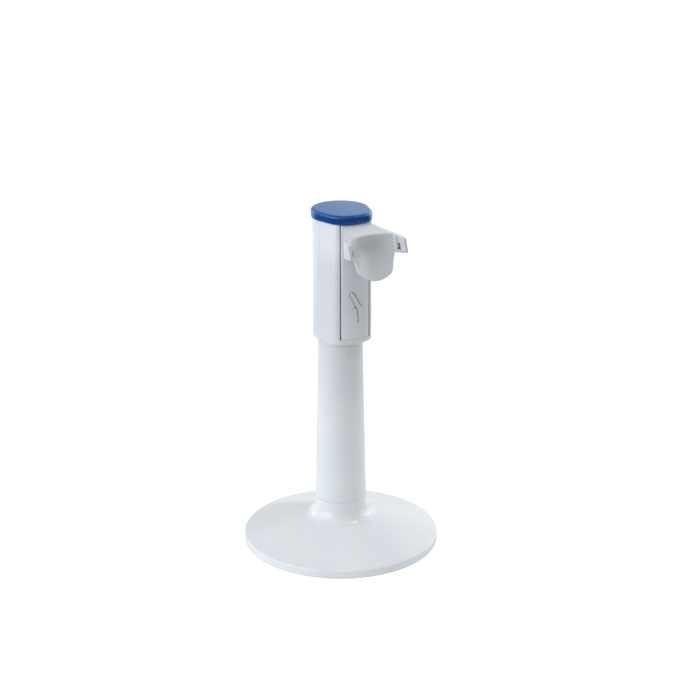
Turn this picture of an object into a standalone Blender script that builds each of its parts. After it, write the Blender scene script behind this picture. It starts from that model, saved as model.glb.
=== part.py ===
"""Charging stand for one electronic pipette: a round weighted base, a tapered column and a head.

The head carries an exchangeable charging shell: a front panel with a flared arm that ends in a
cradle, whose two prongs each hold a sprung charging contact.
Metres, +Z up. The origin is the centre of the base, on the table. The arm points to -Y.
"""
import math

import bmesh
import bpy
from mathutils import Matrix, Vector

MM = 0.001
GAP = 0.3 * MM

# Base: a turned shell with a shallow cone, a fillet and a neck
BASE_RADIUS = 80.0 * MM
BASE_CLEARANCE = 1.0 * MM
BASE_RIM_HEIGHT = 7.3 * MM
BASE_RIM_ROUND = 1.2 * MM
BASE_SLOPE = math.radians(15.5)
BASE_WALL = 2.6 * MM
NECK_RADIUS = 21.2 * MM
NECK_WALL = 3.0 * MM
NECK_FILLET = 12.0 * MM
NECK_TOP = 39.5 * MM
BASE_STEPS = 80

# Underside: ballast, cover plate, feet and screws
PLATE_THICKNESS = 2.0 * MM
PLATE_RAISE = 0.3 * MM
BALLAST_EDGE = 3.6 * MM
BALLAST_HUB_RADIUS = 40.0 * MM
FOOT_RADIUS = 7.0 * MM
FOOT_RECESS = 0.8 * MM
FOOT_INSET = 16.0 * MM
BASE_SCREW_CIRCLE = 46.0 * MM
BASE_SCREW_RADIUS = 2.0 * MM
BASE_SCREW_HEAD = 3.6 * MM
BASE_SCREW_LENGTH = 7.0 * MM
CORNER_ANGLES = (45, 135, 225, 315)

# Column and the bolt that clamps the stand together
COLUMN_TOP_RADIUS = 18.15 * MM
COLUMN_LENGTH = 134.0 * MM
COLUMN_WALL = 4.2 * MM
COLUMN_SPIGOT = 7.0 * MM
RING_RADIUS = 18.5 * MM
RING_HEIGHT = 3.6 * MM
BOLT_RADIUS = 3.0 * MM
BOLT_HEAD_RADIUS = 5.7 * MM
BOLT_HEAD_HEIGHT = 4.0 * MM
NUT_HEIGHT = 5.0 * MM
WASHER_RADIUS = 9.0 * MM
WASHER_THICKNESS = 1.6 * MM
COLUMN_STEPS = 60

# Head: round at the back, two soft corners, a flatter arc in front
HEAD_HEIGHT = 97.6 * MM
HEAD_REAR_RADIUS = 22.0 * MM
HEAD_FRONT_RADIUS = 27.5 * MM
HEAD_CORNER_ANGLE = math.radians(37)
HEAD_CORNER_SOFT = 2.6 * MM
HEAD_WALL = 2.5 * MM
HEAD_FLOOR = 3.4 * MM
HEAD_SPIGOT = 6.0 * MM
LIP_HEIGHT = 4.3 * MM
GROOVE_WIDTH = 1.2 * MM
GROOVE_DEPTH = 3.0 * MM
POST_DEPTH = 4.0 * MM

# Cap
CAP_HEIGHT = 7.1 * MM
CAP_OVERHANG = 1.2 * MM
CAP_ROUND = 2.4 * MM
CAP_LOW_ROUND = 1.0 * MM
CAP_CORNER_SOFT = 7.0 * MM
CAP_WALL = 2.0 * MM
CAP_SEAT_DEPTH = 6.0 * MM
CAP_SEAT_THICKNESS = 2.0 * MM
CAP_CLIP_RADIUS = 9.0 * MM
CAP_CLIP_WALL = 3.2 * MM

# Charging shell: panel and guide tongues
PANEL_HALF_WIDTH = 12.1 * MM
PANEL_THICKNESS = 2.4 * MM
PANEL_EDGE_ROUND = 0.7 * MM
TONGUE_THICKNESS = 2.0 * MM
TONGUE_DEPTH = 4.6 * MM

# Arm and cradle; u runs forward from the stand's axis, v to the side
ARM_ROOT_HALF_WIDTH = 11.05 * MM
ARM_ROOT_REACH = 26.0 * MM
ARM_FLAT_REACH = 33.0 * MM
ARM_ROOT_DEPTH = 25.5 * MM
ARM_WALL = 2.2 * MM
ARM_CORNER_SOFT = 3.0 * MM
CREASE_SETBACK = 4.0 * MM
CREASE_SPREAD = 1.2 * MM
ARM_SCREW_DROP = 10.1 * MM
ARM_SCREW_SIDE = 5.6 * MM
ARM_SCREW_RADIUS = 1.3 * MM
ARM_SCREW_HEAD = 2.3 * MM
ARM_SCREW_HEAD_DEPTH = 1.5 * MM
ARM_SCREW_LENGTH = 9.0 * MM
ARM_BOSS_RADIUS = 3.6 * MM
ARM_BOSS_LENGTH = 4.5 * MM
RIM_DROP = 3.3 * MM
RIM_REACH = 47.6 * MM
RIM_DISH = 3.4 * MM
CRADLE_HALF_WIDTH = 18.0 * MM
PRONG_DEPTH = 14.5 * MM
PRONG_ANGLE = math.radians(30)
PRONG_REACH = 7.9 * MM
PRONG_ROOT_WIDTH = 6.5 * MM
PRONG_ROOT_STEP = 0.5 * MM
PRONG_TIP_SLANT = math.radians(18)
PRONG_TIP_RISE = 1.2 * MM
PRONG_TIP_WIDTH = 2.5 * MM
PRONG_TOP_FALL = math.radians(15)
BIB_DROP = 33.2 * MM
BIB_KNEE_DROP = 7.7 * MM
BIB_KNEE_RADIUS = 16.0 * MM
BIB_LEAN = math.radians(31)
BIB_DISH = 4.9 * MM
BIB_THICKNESS = 2.2 * MM
BIB_FOOT_DEPTH = 7.5 * MM
BIB_BOTTOM_RADIUS = 20.0 * MM
BIB_BOTTOM_HALF_WIDTH = 13.6 * MM
BIB_CORNER_SOFT = 3.0 * MM

# Charging contacts
SLOT_WIDTH = 2.4 * MM
SLOT_DEPTH = 3.1 * MM
SLOT_FROM_ROOT = 2.6 * MM
SLOT_FLOOR_DROP = 11.4 * MM
CONTACT_HEIGHT = 3.6 * MM
CONTACT_PROUD = 0.5 * MM
CONTACT_TRAVEL = 0.9 * MM
CONTACT_BACK_ROOM = 0.4 * MM
CONTACT_EDGE_ROUND = 0.35 * MM

# Electronics in the head
BOARD_THICKNESS = 1.6 * MM
BOARD_SIDE = 6.4 * MM
BOARD_REAR = 13.0 * MM
BOARD_FRONT = 12.0 * MM
BOARD_RAISE = 10.6 * MM
BOARD_TOP_ROOM = 13.6 * MM
BOSS_RADIUS = 3.2 * MM
BOSS_FROM_BOARD_FOOT = 14.0 * MM
BOSS_SPACING = 26.0 * MM
BOARD_SCREW_RADIUS = 1.3 * MM
BOARD_SCREW_HEAD = 2.6 * MM
BOARD_SCREW_LENGTH = 7.0 * MM
SOCKET_RAISE = 14.1 * MM
SOCKET_RADIUS = 4.4 * MM
SOCKET_BORE = 2.8 * MM
SOCKET_PIN = 1.0 * MM
SOCKET_BODY = 9.0 * MM
SOCKET_BODY_DEPTH = 11.0 * MM
PLUG_BODY = 8.0 * MM
PLUG_TONGUE = 1.8 * MM
PLUG_TONGUE_WIDTH = 5.0 * MM
PLUG_TONGUE_REACH = 5.0 * MM
LEAD_RADIUS = 0.6 * MM
LEAD_SPREAD = 2.0 * MM
LEAD_CLEARANCE = 3.1 * MM

WHITE = (0.80, 0.82, 0.84, 1.0)
GREY = (0.55, 0.57, 0.60, 1.0)
BLUE = (0.02, 0.07, 0.32, 1.0)
STEEL = (0.62, 0.62, 0.63, 1.0)
BLACK = (0.03, 0.03, 0.03, 1.0)
GREEN = (0.02, 0.18, 0.08, 1.0)
NICKEL = (0.18, 0.18, 0.19, 1.0)

for leftover in list(bpy.data.objects):
    bpy.data.objects.remove(leftover)


def collection(name):
    made = bpy.data.collections.new(name)
    bpy.context.scene.collection.children.link(made)
    return made


PARTS = collection("pipette_charging_stand")
CUTTERS = collection("cutters")


def material(name, colour, roughness, metallic=0.0):
    made = bpy.data.materials.new(name)
    made.use_nodes = True
    shader = made.node_tree.nodes["Principled BSDF"]
    shader.inputs["Base Color"].default_value = colour
    shader.inputs["Roughness"].default_value = roughness
    shader.inputs["Metallic"].default_value = metallic
    return made


# Shapes

def place(name, mesh, finish=None):
    """Puts a mesh in the parts, or in the cutters where it has no finish."""
    made = bpy.data.objects.new(name, mesh)
    if finish is None:
        CUTTERS.objects.link(made)
        made.hide_render = True
        made.display_type = "WIRE"
        return made
    PARTS.objects.link(made)
    colour, roughness, metallic = finish
    made.data.materials.append(material(name, colour, roughness, metallic))
    return made


def plan_point(u, v, z):
    """A point given forward of the axis, to the side and up."""
    return Vector((v, -u, z))


def turned(name, profile, finish=None, steps=48):
    """A solid of revolution from a closed loop of (radius, height) points."""
    mesh = bpy.data.meshes.new(name)
    points = [(radius, 0, height) for radius, height in profile]
    ends_on_axis = profile[0][0] == 0 and profile[-1][0] == 0
    count = len(points)
    edges = [(i, i + 1) for i in range(count - 1)]
    if not ends_on_axis:
        edges.append((count - 1, 0))
    mesh.from_pydata(points, edges, [])
    made = place(name, mesh, finish)
    turn = made.modifiers.new("Turn", "SCREW")
    turn.steps = steps
    turn.render_steps = steps
    turn.use_merge_vertices = True
    turn.merge_threshold = 0.00001
    turn.use_smooth_shade = True
    return made


def ring_profile(outer, inner, low, high):
    """Section of a plain ring or tube, from the outer top edge downwards."""
    if inner == 0:
        return [(0, high), (outer, high), (outer, low), (0, low)]
    return [(outer, high), (outer, low), (inner, low), (inner, high)]


def prism(name, outline, depth, to_world, finish=None):
    """A flat outline, thickened both ways from its own plane and stood in place by a matrix."""
    curve = bpy.data.curves.new(name, "CURVE")
    curve.dimensions = "2D"
    curve.fill_mode = "BOTH"
    curve.extrude = depth / 2
    spline = curve.splines.new("POLY")
    spline.points.add(len(outline) - 1)
    for point, (x, y) in zip(spline.points, outline):
        point.co = (x, y, 0, 1)
    spline.use_cyclic_u = True
    drawn = bpy.data.objects.new(name + "_outline", curve)
    PARTS.objects.link(drawn)
    depsgraph = bpy.context.evaluated_depsgraph_get()
    mesh = bpy.data.meshes.new_from_object(drawn.evaluated_get(depsgraph))
    bpy.data.objects.remove(drawn)
    close_mesh(mesh, to_world)
    return place(name, mesh, finish)


def mesh_from(name, shape):
    """Turns a worked shape's faces outward and hands it over as a mesh."""
    bmesh.ops.recalc_face_normals(shape, faces=shape.faces)
    mesh = bpy.data.meshes.new(name)
    shape.to_mesh(mesh)
    shape.free()
    return mesh


def close_mesh(mesh, to_world=Matrix.Identity(4)):
    """Welds the caps of a mesh, stands it in place and turns its faces outward."""
    shape = bmesh.new()
    shape.from_mesh(mesh)
    bmesh.ops.remove_doubles(shape, verts=shape.verts, dist=0.000001)
    bmesh.ops.transform(shape, matrix=to_world, verts=shape.verts)
    bmesh.ops.recalc_face_normals(shape, faces=shape.faces)
    shape.to_mesh(mesh)
    shape.free()


def from_above(low, high):
    """Stands a (u, v) outline between two heights."""
    return Matrix(((0, 1, 0, 0), (-1, 0, 0, 0), (0, 0, 1, (low + high) / 2), (0, 0, 0, 1)))


def from_side(offset=0.0):
    """Stands a (u, z) outline upright along the arm, centred at a sideways offset."""
    return Matrix(((0, 0, 1, offset), (-1, 0, 0, 0), (0, 1, 0, 0), (0, 0, 0, 1)))


def from_front(near, far):
    """Stands a (v, z) outline across the arm, between two distances from the axis."""
    return Matrix(((1, 0, 0, 0), (0, 0, -1, -(near + far) / 2), (0, 1, 0, 0), (0, 0, 0, 1)))


def plan_prism(name, outline, low, high, finish=None):
    return prism(name, outline, high - low, from_above(low, high), finish)


def box(name, near, far, left, right, low, high, finish=None):
    """A block between two distances forward, two to the side and two heights."""
    shape = bmesh.new()
    bmesh.ops.create_cube(shape, size=1)
    middle = plan_point((near + far) / 2, (left + right) / 2, (low + high) / 2)
    size = Vector((right - left, far - near, high - low))
    stretch = Matrix.Diagonal(size).to_4x4()
    bmesh.ops.transform(shape, matrix=Matrix.Translation(middle) @ stretch, verts=shape.verts)
    return place(name, mesh_from(name, shape), finish)


def rod(name, start, end, radius, finish=None, sides=20):
    """A round bar between two points."""
    shape = bmesh.new()
    bmesh.ops.create_cone(shape, cap_ends=True, segments=sides, radius1=radius, radius2=radius, depth=1)
    span = end - start
    stretch = Matrix.Diagonal(Vector((1, 1, span.length))).to_4x4()
    turn = span.to_track_quat("Z", "Y").to_matrix().to_4x4()
    middle = Matrix.Translation((start + end) / 2)
    bmesh.ops.transform(shape, matrix=middle @ turn @ stretch, verts=shape.verts)
    return place(name, mesh_from(name, shape), finish)


def arc(centre, radius, start, end, count):
    """Points along an arc, from one angle to another."""
    points = []
    for step in range(count + 1):
        angle = start + (end - start) * step / count
        points.append((centre[0] + radius * math.cos(angle), centre[1] + radius * math.sin(angle)))
    return points


def soft_corner(before, corner, after, count=4):
    """Points of a smooth bend that starts at one point and ends at another, drawn in by the corner."""
    points = []
    for step in range(count + 1):
        t = step / count
        points.append(tuple(
            (1 - t) ** 2 * a + 2 * t * (1 - t) * b + t ** 2 * c for a, b, c in zip(before, corner, after)))
    return points


def towards(start, end, distance):
    """The point a given distance from one point towards another."""
    length = math.dist(start, end)
    return tuple(a + (b - a) * distance / length for a, b in zip(start, end))


def mirrored(outline):
    """Adds the other side of an outline whose points run up the +v side."""
    return outline + [(u, -v) for u, v in reversed(outline) if v > 0]


def cut(solid, *cutters, how="DIFFERENCE"):
    for number, cutter in enumerate(cutters):
        step = solid.modifiers.new("%s %d" % (how.capitalize(), number + 1), "BOOLEAN")
        step.operation = how
        step.solver = "EXACT"
        step.object = cutter


def join(solid, *others):
    cut(solid, *others, how="UNION")


def loft(name, sections, finish=None):
    """Skins a row of closed sections that have as many points each, and caps both ends."""
    shape = bmesh.new()
    rings = [[shape.verts.new(point) for point in section] for section in sections]
    for lower, upper in zip(rings, rings[1:]):
        for i in range(len(lower)):
            j = (i + 1) % len(lower)
            shape.faces.new((lower[i], lower[j], upper[j], upper[i]))
    shape.faces.new(rings[0])
    shape.faces.new(rings[-1])
    return place(name, mesh_from(name, shape), finish)


def wire(name, points, radius, finish):
    """A round lead along a row of points, with closed ends."""
    curve = bpy.data.curves.new(name, "CURVE")
    curve.dimensions = "3D"
    curve.bevel_depth = radius
    curve.bevel_resolution = 2
    curve.use_fill_caps = True
    spline = curve.splines.new("POLY")
    spline.points.add(len(points) - 1)
    for point, place_at in zip(spline.points, points):
        point.co = (*place_at, 1)
    drawn = bpy.data.objects.new(name + "_path", curve)
    PARTS.objects.link(drawn)
    depsgraph = bpy.context.evaluated_depsgraph_get()
    mesh = bpy.data.meshes.new_from_object(drawn.evaluated_get(depsgraph))
    bpy.data.objects.remove(drawn)
    close_mesh(mesh)
    mesh.shade_smooth()
    return place(name, mesh, finish)


def hang(name, point, *pieces):
    """Parents moving pieces to an empty that stands on their joint's axis."""
    axis = bpy.data.objects.new(name, None)
    PARTS.objects.link(axis)
    axis.location = point
    for piece in pieces:
        piece.parent = axis
        piece.matrix_parent_inverse = Matrix.Translation(-point)
    return axis


# Sizes that follow from the driving dimensions

plastic = (WHITE, 0.35, 0.0)
steel = (STEEL, 0.35, 1.0)
black_plastic = (BLACK, 0.45, 0.0)
rubber = (BLACK, 0.80, 0.0)

rim_top = BASE_CLEARANCE + BASE_RIM_HEIGHT
rim_shoulder = BASE_RADIUS - BASE_RIM_ROUND
column_foot_radius = NECK_RADIUS - GAP / 3
column_low = NECK_TOP + GAP
column_high = column_low + COLUMN_LENGTH
ring_low = column_high + GAP
head_bottom = ring_low + RING_HEIGHT + GAP
head_top = head_bottom + HEAD_HEIGHT
floor_top = head_bottom + HEAD_FLOOR
cap_low = head_top + GAP
cap_top = cap_low + CAP_HEIGHT
foot_circle = BASE_RADIUS - FOOT_INSET
post_front = HEAD_FRONT_RADIUS * math.cos(HEAD_CORNER_ANGLE) + HEAD_CORNER_SOFT - GROOVE_DEPTH
cavity_front = post_front - POST_DEPTH
panel_low = head_bottom + LIP_HEIGHT + GAP
panel_high = head_top - GAP
window_half_width = PANEL_HALF_WIDTH + GROOVE_WIDTH
panel_inner = HEAD_FRONT_RADIUS - PANEL_THICKNESS
arm_seat_radius = HEAD_FRONT_RADIUS + GAP
arm_root = HEAD_FRONT_RADIUS + GAP
arm_top = head_top - GAP
rim_height = arm_top - RIM_DROP
rim_edge_reach = RIM_REACH + RIM_DISH
arm_flare_reach = rim_edge_reach + PRONG_ROOT_STEP
arm_flare_half_width = CRADLE_HALF_WIDTH + PRONG_ROOT_WIDTH
prong_tip_reach = rim_edge_reach + PRONG_REACH
bib_bottom = rim_height - BIB_DROP
bib_knee_height = rim_height - BIB_KNEE_DROP
arm_screw_height = arm_top - ARM_SCREW_DROP
board_bottom = floor_top + BOARD_RAISE
board_top = head_top - BOARD_TOP_ROOM
boss_heights = (board_bottom + BOSS_FROM_BOARD_FOOT, board_bottom + BOSS_FROM_BOARD_FOOT + BOSS_SPACING)
socket_height = floor_top + SOCKET_RAISE
screw_seat = math.sqrt(panel_inner ** 2 - ARM_SCREW_SIDE ** 2)
SIDES = ((-1, "left"), (1, "right"))
prong_low = rim_height - PRONG_DEPTH


def cone_height(radius):
    """Height of the base's outer cone at a radius."""
    return rim_top + (rim_shoulder - radius) * math.tan(BASE_SLOPE)


def cone_underside(radius):
    return cone_height(radius) - BASE_WALL / math.cos(BASE_SLOPE)


pocket_near = arm_root + ARM_WALL
pocket_far = RIM_REACH - BIB_THICKNESS - GAP
pocket_top = rim_height - 3 * ARM_WALL / 2


def underside(u):
    """Height of the arm's sloping underside."""
    start = arm_top - ARM_ROOT_DEPTH
    slope = (prong_low - start) / (RIM_REACH - arm_root)
    return start + (u - arm_root) * slope


lead_height = underside(pocket_near) + ARM_WALL + LEAD_CLEARANCE
plug_height = lead_height - PLUG_BODY / 2


# Base

def make_base_shell():
    """The moulded shell: rim, shallow cone, fillet and neck, open below."""
    fillet_radius = NECK_RADIUS + NECK_FILLET
    fillet_centre = (fillet_radius, cone_height(fillet_radius) + NECK_FILLET / math.cos(BASE_SLOPE))
    outside = [(NECK_RADIUS, NECK_TOP)]
    outside += arc(fillet_centre, NECK_FILLET, math.pi, 1.5 * math.pi - BASE_SLOPE, 7)
    rim_centre = (rim_shoulder, rim_top - BASE_RIM_ROUND)
    outside += arc(rim_centre, BASE_RIM_ROUND, math.pi / 2 - BASE_SLOPE, 0, 4)
    low_round = BASE_RIM_ROUND / 2
    outside += [(BASE_RADIUS, BASE_CLEARANCE + low_round), (BASE_RADIUS - low_round, BASE_CLEARANCE)]
    inner_edge = BASE_RADIUS - BASE_WALL
    neck_inner = NECK_RADIUS - NECK_WALL
    inside = [(inner_edge, BASE_CLEARANCE), (inner_edge, cone_underside(inner_edge))]
    inside += [(neck_inner + BASE_WALL, cone_underside(neck_inner + BASE_WALL))]
    inside += [(neck_inner, cone_underside(neck_inner) + BASE_WALL)]
    inside += [(neck_inner, NECK_TOP)]
    return turned("base_shell", outside + inside, plastic, BASE_STEPS)


def on_axis(height):
    return Vector((0, 0, height))


def around(radius, degrees, height=0.0):
    angle = math.radians(degrees)
    return Vector((radius * math.cos(angle), radius * math.sin(angle), height))


plate_low = BASE_CLEARANCE + PLATE_RAISE
plate_high = plate_low + PLATE_THICKNESS
plate_radius = BASE_RADIUS - BASE_WALL - GAP
ballast_low = plate_high + GAP
ballast_radius = plate_radius - BALLAST_EDGE
bolt_low = ballast_low + GAP
bolt_seat = bolt_low + BOLT_HEAD_HEIGHT + GAP


def make_base_plate():
    """The flat plate that closes the base, with a recess for each foot."""
    ring = ring_profile(plate_radius, BOLT_HEAD_RADIUS + 2 * GAP, plate_low, plate_high)
    plate = turned("base_plate", ring, (GREY, 0.5, 0.0), BASE_STEPS)
    for number, degrees in enumerate(CORNER_ANGLES, 1):
        recess_top = plate_low + FOOT_RECESS
        recess = rod("foot_recess_%d" % number, around(foot_circle, degrees, plate_low - FOOT_RECESS),
                     around(foot_circle, degrees, recess_top), FOOT_RADIUS + GAP)
        hole = rod("plate_screw_hole_%d" % number, around(BASE_SCREW_CIRCLE, degrees, 0),
                   around(BASE_SCREW_CIRCLE, degrees, ballast_low), BASE_SCREW_RADIUS + GAP)
        cut(plate, recess, hole)
    return plate


def make_ballast():
    """A cast steel disc that follows the shell's cone and carries the clamping bolt."""
    hub_top = cone_underside(BALLAST_HUB_RADIUS) - GAP
    inner = BOLT_RADIUS + GAP
    head_room = BOLT_HEAD_RADIUS + GAP
    profile = [
        (inner, hub_top), (BALLAST_HUB_RADIUS, hub_top),
        (ballast_radius, cone_underside(ballast_radius) - GAP), (ballast_radius, ballast_low),
        (head_room, ballast_low), (head_room, bolt_seat), (inner, bolt_seat)]
    ballast = turned("base_ballast", profile, (STEEL, 0.6, 1.0), 56)
    for number, degrees in enumerate(CORNER_ANGLES, 1):
        hole_end = plate_low + BASE_SCREW_LENGTH + GAP
        hole = rod("ballast_screw_hole_%d" % number, around(BASE_SCREW_CIRCLE, degrees, 0),
                   around(BASE_SCREW_CIRCLE, degrees, hole_end), BASE_SCREW_RADIUS + GAP)
        cut(ballast, hole)
    return ballast


def make_feet_and_screws():
    for number, degrees in enumerate(CORNER_ANGLES, 1):
        high = plate_low + FOOT_RECESS - GAP
        pad = [(0, high), (FOOT_RADIUS, high), (FOOT_RADIUS, GAP), (FOOT_RADIUS - GAP, 0), (0, 0)]
        foot = turned("foot_%d" % number, pad, rubber, 24)
        foot.location = around(foot_circle, degrees)
        head_low = plate_low - GAP - BASE_SCREW_RADIUS / 4
        head_high = plate_low - GAP
        shank_top = plate_low + BASE_SCREW_LENGTH
        profile = [(0, shank_top), (BASE_SCREW_RADIUS, shank_top), (BASE_SCREW_RADIUS, head_high),
                   (BASE_SCREW_HEAD, head_high), (BASE_SCREW_HEAD, head_low), (0, head_low)]
        screw = turned("base_screw_%d" % number, profile, steel, 16)
        screw.location = around(BASE_SCREW_CIRCLE, degrees)


# Column

def make_column():
    """A tapered tube with a spigot that centres it in the base's neck."""
    spigot = NECK_RADIUS - NECK_WALL - GAP
    bore = COLUMN_TOP_RADIUS - COLUMN_WALL
    profile = [
        (COLUMN_TOP_RADIUS, column_high), (column_foot_radius, column_low), (spigot, column_low),
        (spigot, column_low - COLUMN_SPIGOT), (bore, column_low - COLUMN_SPIGOT), (bore, column_high)]
    return turned("column_tube", profile, plastic, COLUMN_STEPS)


def make_column_ring():
    """The loose ring that hides the joint between column and head."""
    bore = COLUMN_TOP_RADIUS - COLUMN_WALL
    ring = ring_profile(RING_RADIUS, bore, ring_low, ring_low + RING_HEIGHT)
    return turned("column_ring", ring, plastic, COLUMN_STEPS)


washer_low = floor_top + GAP
nut_low = washer_low + WASHER_THICKNESS + GAP


def hexagon(radius):
    return arc((0, 0), radius, 0, 5 * math.pi / 3, 5)


def make_clamp():
    """The long bolt from the ballast to the head's floor, with its washer and nut."""
    bolt = plan_prism("clamp_bolt", hexagon(BOLT_HEAD_RADIUS), bolt_low, bolt_low + BOLT_HEAD_HEIGHT, steel)
    shank_top = nut_low + NUT_HEIGHT + BOLT_RADIUS / 2
    shank_low = bolt_low + BOLT_HEAD_HEIGHT / 2
    join(bolt, rod("clamp_bolt_shank", on_axis(shank_low), on_axis(shank_top), BOLT_RADIUS))
    bore = BOLT_RADIUS + GAP
    washer = ring_profile(WASHER_RADIUS, bore, washer_low, washer_low + WASHER_THICKNESS)
    turned("clamp_washer", washer, steel, 32)
    nut = plan_prism("clamp_nut", hexagon(BOLT_HEAD_RADIUS), nut_low, nut_low + NUT_HEIGHT, steel)
    cut(nut, rod("nut_bore", on_axis(nut_low - NUT_HEIGHT), on_axis(nut_low + 2 * NUT_HEIGHT), bore))


# Head

def head_outline(offset, soft=HEAD_CORNER_SOFT):
    """Plan of the head, grown or shrunk by an offset: front arc, soft corner, flank and rear arc."""
    front = HEAD_FRONT_RADIUS + offset
    rear = HEAD_REAR_RADIUS + offset
    corner = (front * math.cos(HEAD_CORNER_ANGLE), front * math.sin(HEAD_CORNER_ANGLE))
    tangent = HEAD_CORNER_ANGLE + math.acos(rear / front)
    flank_end = (rear * math.cos(tangent), rear * math.sin(tangent))
    arc_end = HEAD_CORNER_ANGLE - soft / front
    half = arc((0, 0), front, 0, arc_end, 10)
    half += soft_corner(half.pop(), corner, towards(corner, flank_end, soft))
    half += arc((0, 0), rear, tangent, math.pi, 18)
    return mirrored(half[:-1] + [(-rear, 0)])


def cavity_outline(shrink):
    """Plan of the room inside the head, behind the front posts."""
    front = cavity_front - shrink
    rear = HEAD_REAR_RADIUS - HEAD_WALL - shrink
    flank = HEAD_CORNER_ANGLE + math.acos((HEAD_REAR_RADIUS - HEAD_WALL) / (HEAD_FRONT_RADIUS - HEAD_WALL))
    half = [(front, PANEL_HALF_WIDTH - shrink)] + arc((0, 0), rear, flank, math.pi, 18)
    return mirrored(half[:-1] + [(-rear, 0)])


def make_head_housing():
    """One moulding: floor, rear and flanks, two front posts with grooves, lip below the panel."""
    housing = plan_prism("head_housing", head_outline(0), head_bottom, head_top, plastic)
    cavity = plan_prism("head_cavity", cavity_outline(0), floor_top, head_top + HEAD_WALL)
    in_front = 2 * HEAD_FRONT_RADIUS
    guide_half_width = PANEL_HALF_WIDTH + GAP / 2
    guide = box("panel_guide_window", cavity_front - HEAD_WALL, in_front, -guide_half_width,
                guide_half_width, panel_low - GAP, head_top + HEAD_WALL)
    window = box("panel_window", post_front, in_front, -window_half_width, window_half_width,
                 panel_low - GAP, head_top + 2 * HEAD_WALL)
    spigot_radius = COLUMN_TOP_RADIUS - COLUMN_WALL - GAP
    plug = ring_profile(spigot_radius, 0, head_bottom - HEAD_SPIGOT, floor_top - HEAD_FLOOR / 2)
    spigot = turned("head_spigot", plug, None, COLUMN_STEPS)
    hole = rod("clamp_hole", on_axis(head_bottom - 2 * HEAD_SPIGOT), on_axis(floor_top + HEAD_FLOOR),
               BOLT_RADIUS + GAP)
    cut(housing, cavity, guide, window)
    join(housing, spigot)
    cut(housing, hole)
    wall_side = HEAD_WALL / 2 - HEAD_REAR_RADIUS
    boss_face = -BOARD_SIDE - GAP
    for number, height in enumerate(boss_heights, 1):
        join(housing, rod("board_boss_%d" % number, plan_point(0, wall_side, height),
                          plan_point(0, boss_face, height), BOSS_RADIUS))
        cut(housing, rod("boss_hole_%d" % number, plan_point(0, boss_face - BOARD_SCREW_LENGTH, height),
                         plan_point(0, 0, height), BOARD_SCREW_RADIUS + GAP, sides=16))
    behind = plan_point(-2 * HEAD_REAR_RADIUS, 0, socket_height)
    inside = plan_point(-HEAD_REAR_RADIUS + 2 * HEAD_WALL, 0, socket_height)
    cut(housing, rod("socket_opening", behind, inside, SOCKET_RADIUS + GAP, sides=32))
    return housing


def cap_sections():
    """The cap's plan at rising heights: a swelling lower edge, then a large round to the top."""
    levels = [(CAP_OVERHANG - CAP_LOW_ROUND, cap_low)]
    for step in range(1, 3):
        angle = math.pi / 2 * step / 2
        levels.append((CAP_OVERHANG - CAP_LOW_ROUND * (1 - math.sin(angle)),
                       cap_low + CAP_LOW_ROUND * (1 - math.cos(angle))))
    for step in range(5):
        angle = math.pi / 2 * step / 4
        levels.append((CAP_OVERHANG - CAP_ROUND * (1 - math.cos(angle)),
                       cap_top - CAP_ROUND * (1 - math.sin(angle))))
    sections = []
    for offset, height in levels:
        sections.append([plan_point(u, v, height) for u, v in head_outline(offset, CAP_CORNER_SOFT)])
    return sections


def make_cap():
    """A glossy lid with rounded edges, clipped over a white seat that closes the head."""
    cap = loft("head_cap", cap_sections(), (BLUE, 0.12, 0.0))
    cap.data.shade_smooth()
    inside = CAP_OVERHANG - CAP_WALL - CAP_LOW_ROUND
    cut(cap, plan_prism("cap_hollow", head_outline(inside), cap_low - CAP_WALL, cap_top - CAP_WALL))
    seat_top = cap_low + CAP_SEAT_THICKNESS
    seat = plan_prism("cap_seat", head_outline(inside - GAP), cap_low, seat_top, plastic)
    plug_low = cap_low - CAP_SEAT_DEPTH
    join(seat, plan_prism("cap_seat_plug", cavity_outline(GAP), plug_low, seat_top - CAP_SEAT_THICKNESS / 2))
    clip_bore = CAP_CLIP_RADIUS - CAP_CLIP_WALL
    clip = ring_profile(CAP_CLIP_RADIUS, clip_bore, seat_top + GAP, cap_top - CAP_WALL - GAP)
    turned("cap_clip", clip, steel, 32)


# Electronics

board_face = -BOARD_SIDE + BOARD_THICKNESS
body_left = board_face + GAP
plug_rear = BOARD_FRONT + PLUG_TONGUE
plug_front = math.sqrt(panel_inner ** 2 - body_left ** 2) - GAP
plug_middle = body_left + PLUG_BODY / 2


def make_board():
    """The board on the housing's bosses, with the screws that hold it."""
    board = box("circuit_board", -BOARD_REAR, BOARD_FRONT, -BOARD_SIDE, board_face,
                board_bottom, board_top, (GREEN, 0.4, 0.0))
    head_low = board_face + GAP
    head_high = head_low + BOARD_THICKNESS
    for number, height in enumerate(boss_heights, 1):
        cut(board, rod("board_hole_%d" % number, plan_point(0, -2 * BOARD_SIDE, height),
                       plan_point(0, BOARD_SIDE, height), BOARD_SCREW_RADIUS + GAP, sides=16))
        screw = rod("board_screw_%d" % number, plan_point(0, head_low - BOARD_SCREW_LENGTH + GAP, height),
                    plan_point(0, (head_low + head_high) / 2, height), BOARD_SCREW_RADIUS, steel, 16)
        join(screw, rod("board_screw_head_%d" % number, plan_point(0, head_low, height),
                        plan_point(0, head_high, height), BOARD_SCREW_HEAD, sides=16))


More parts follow.
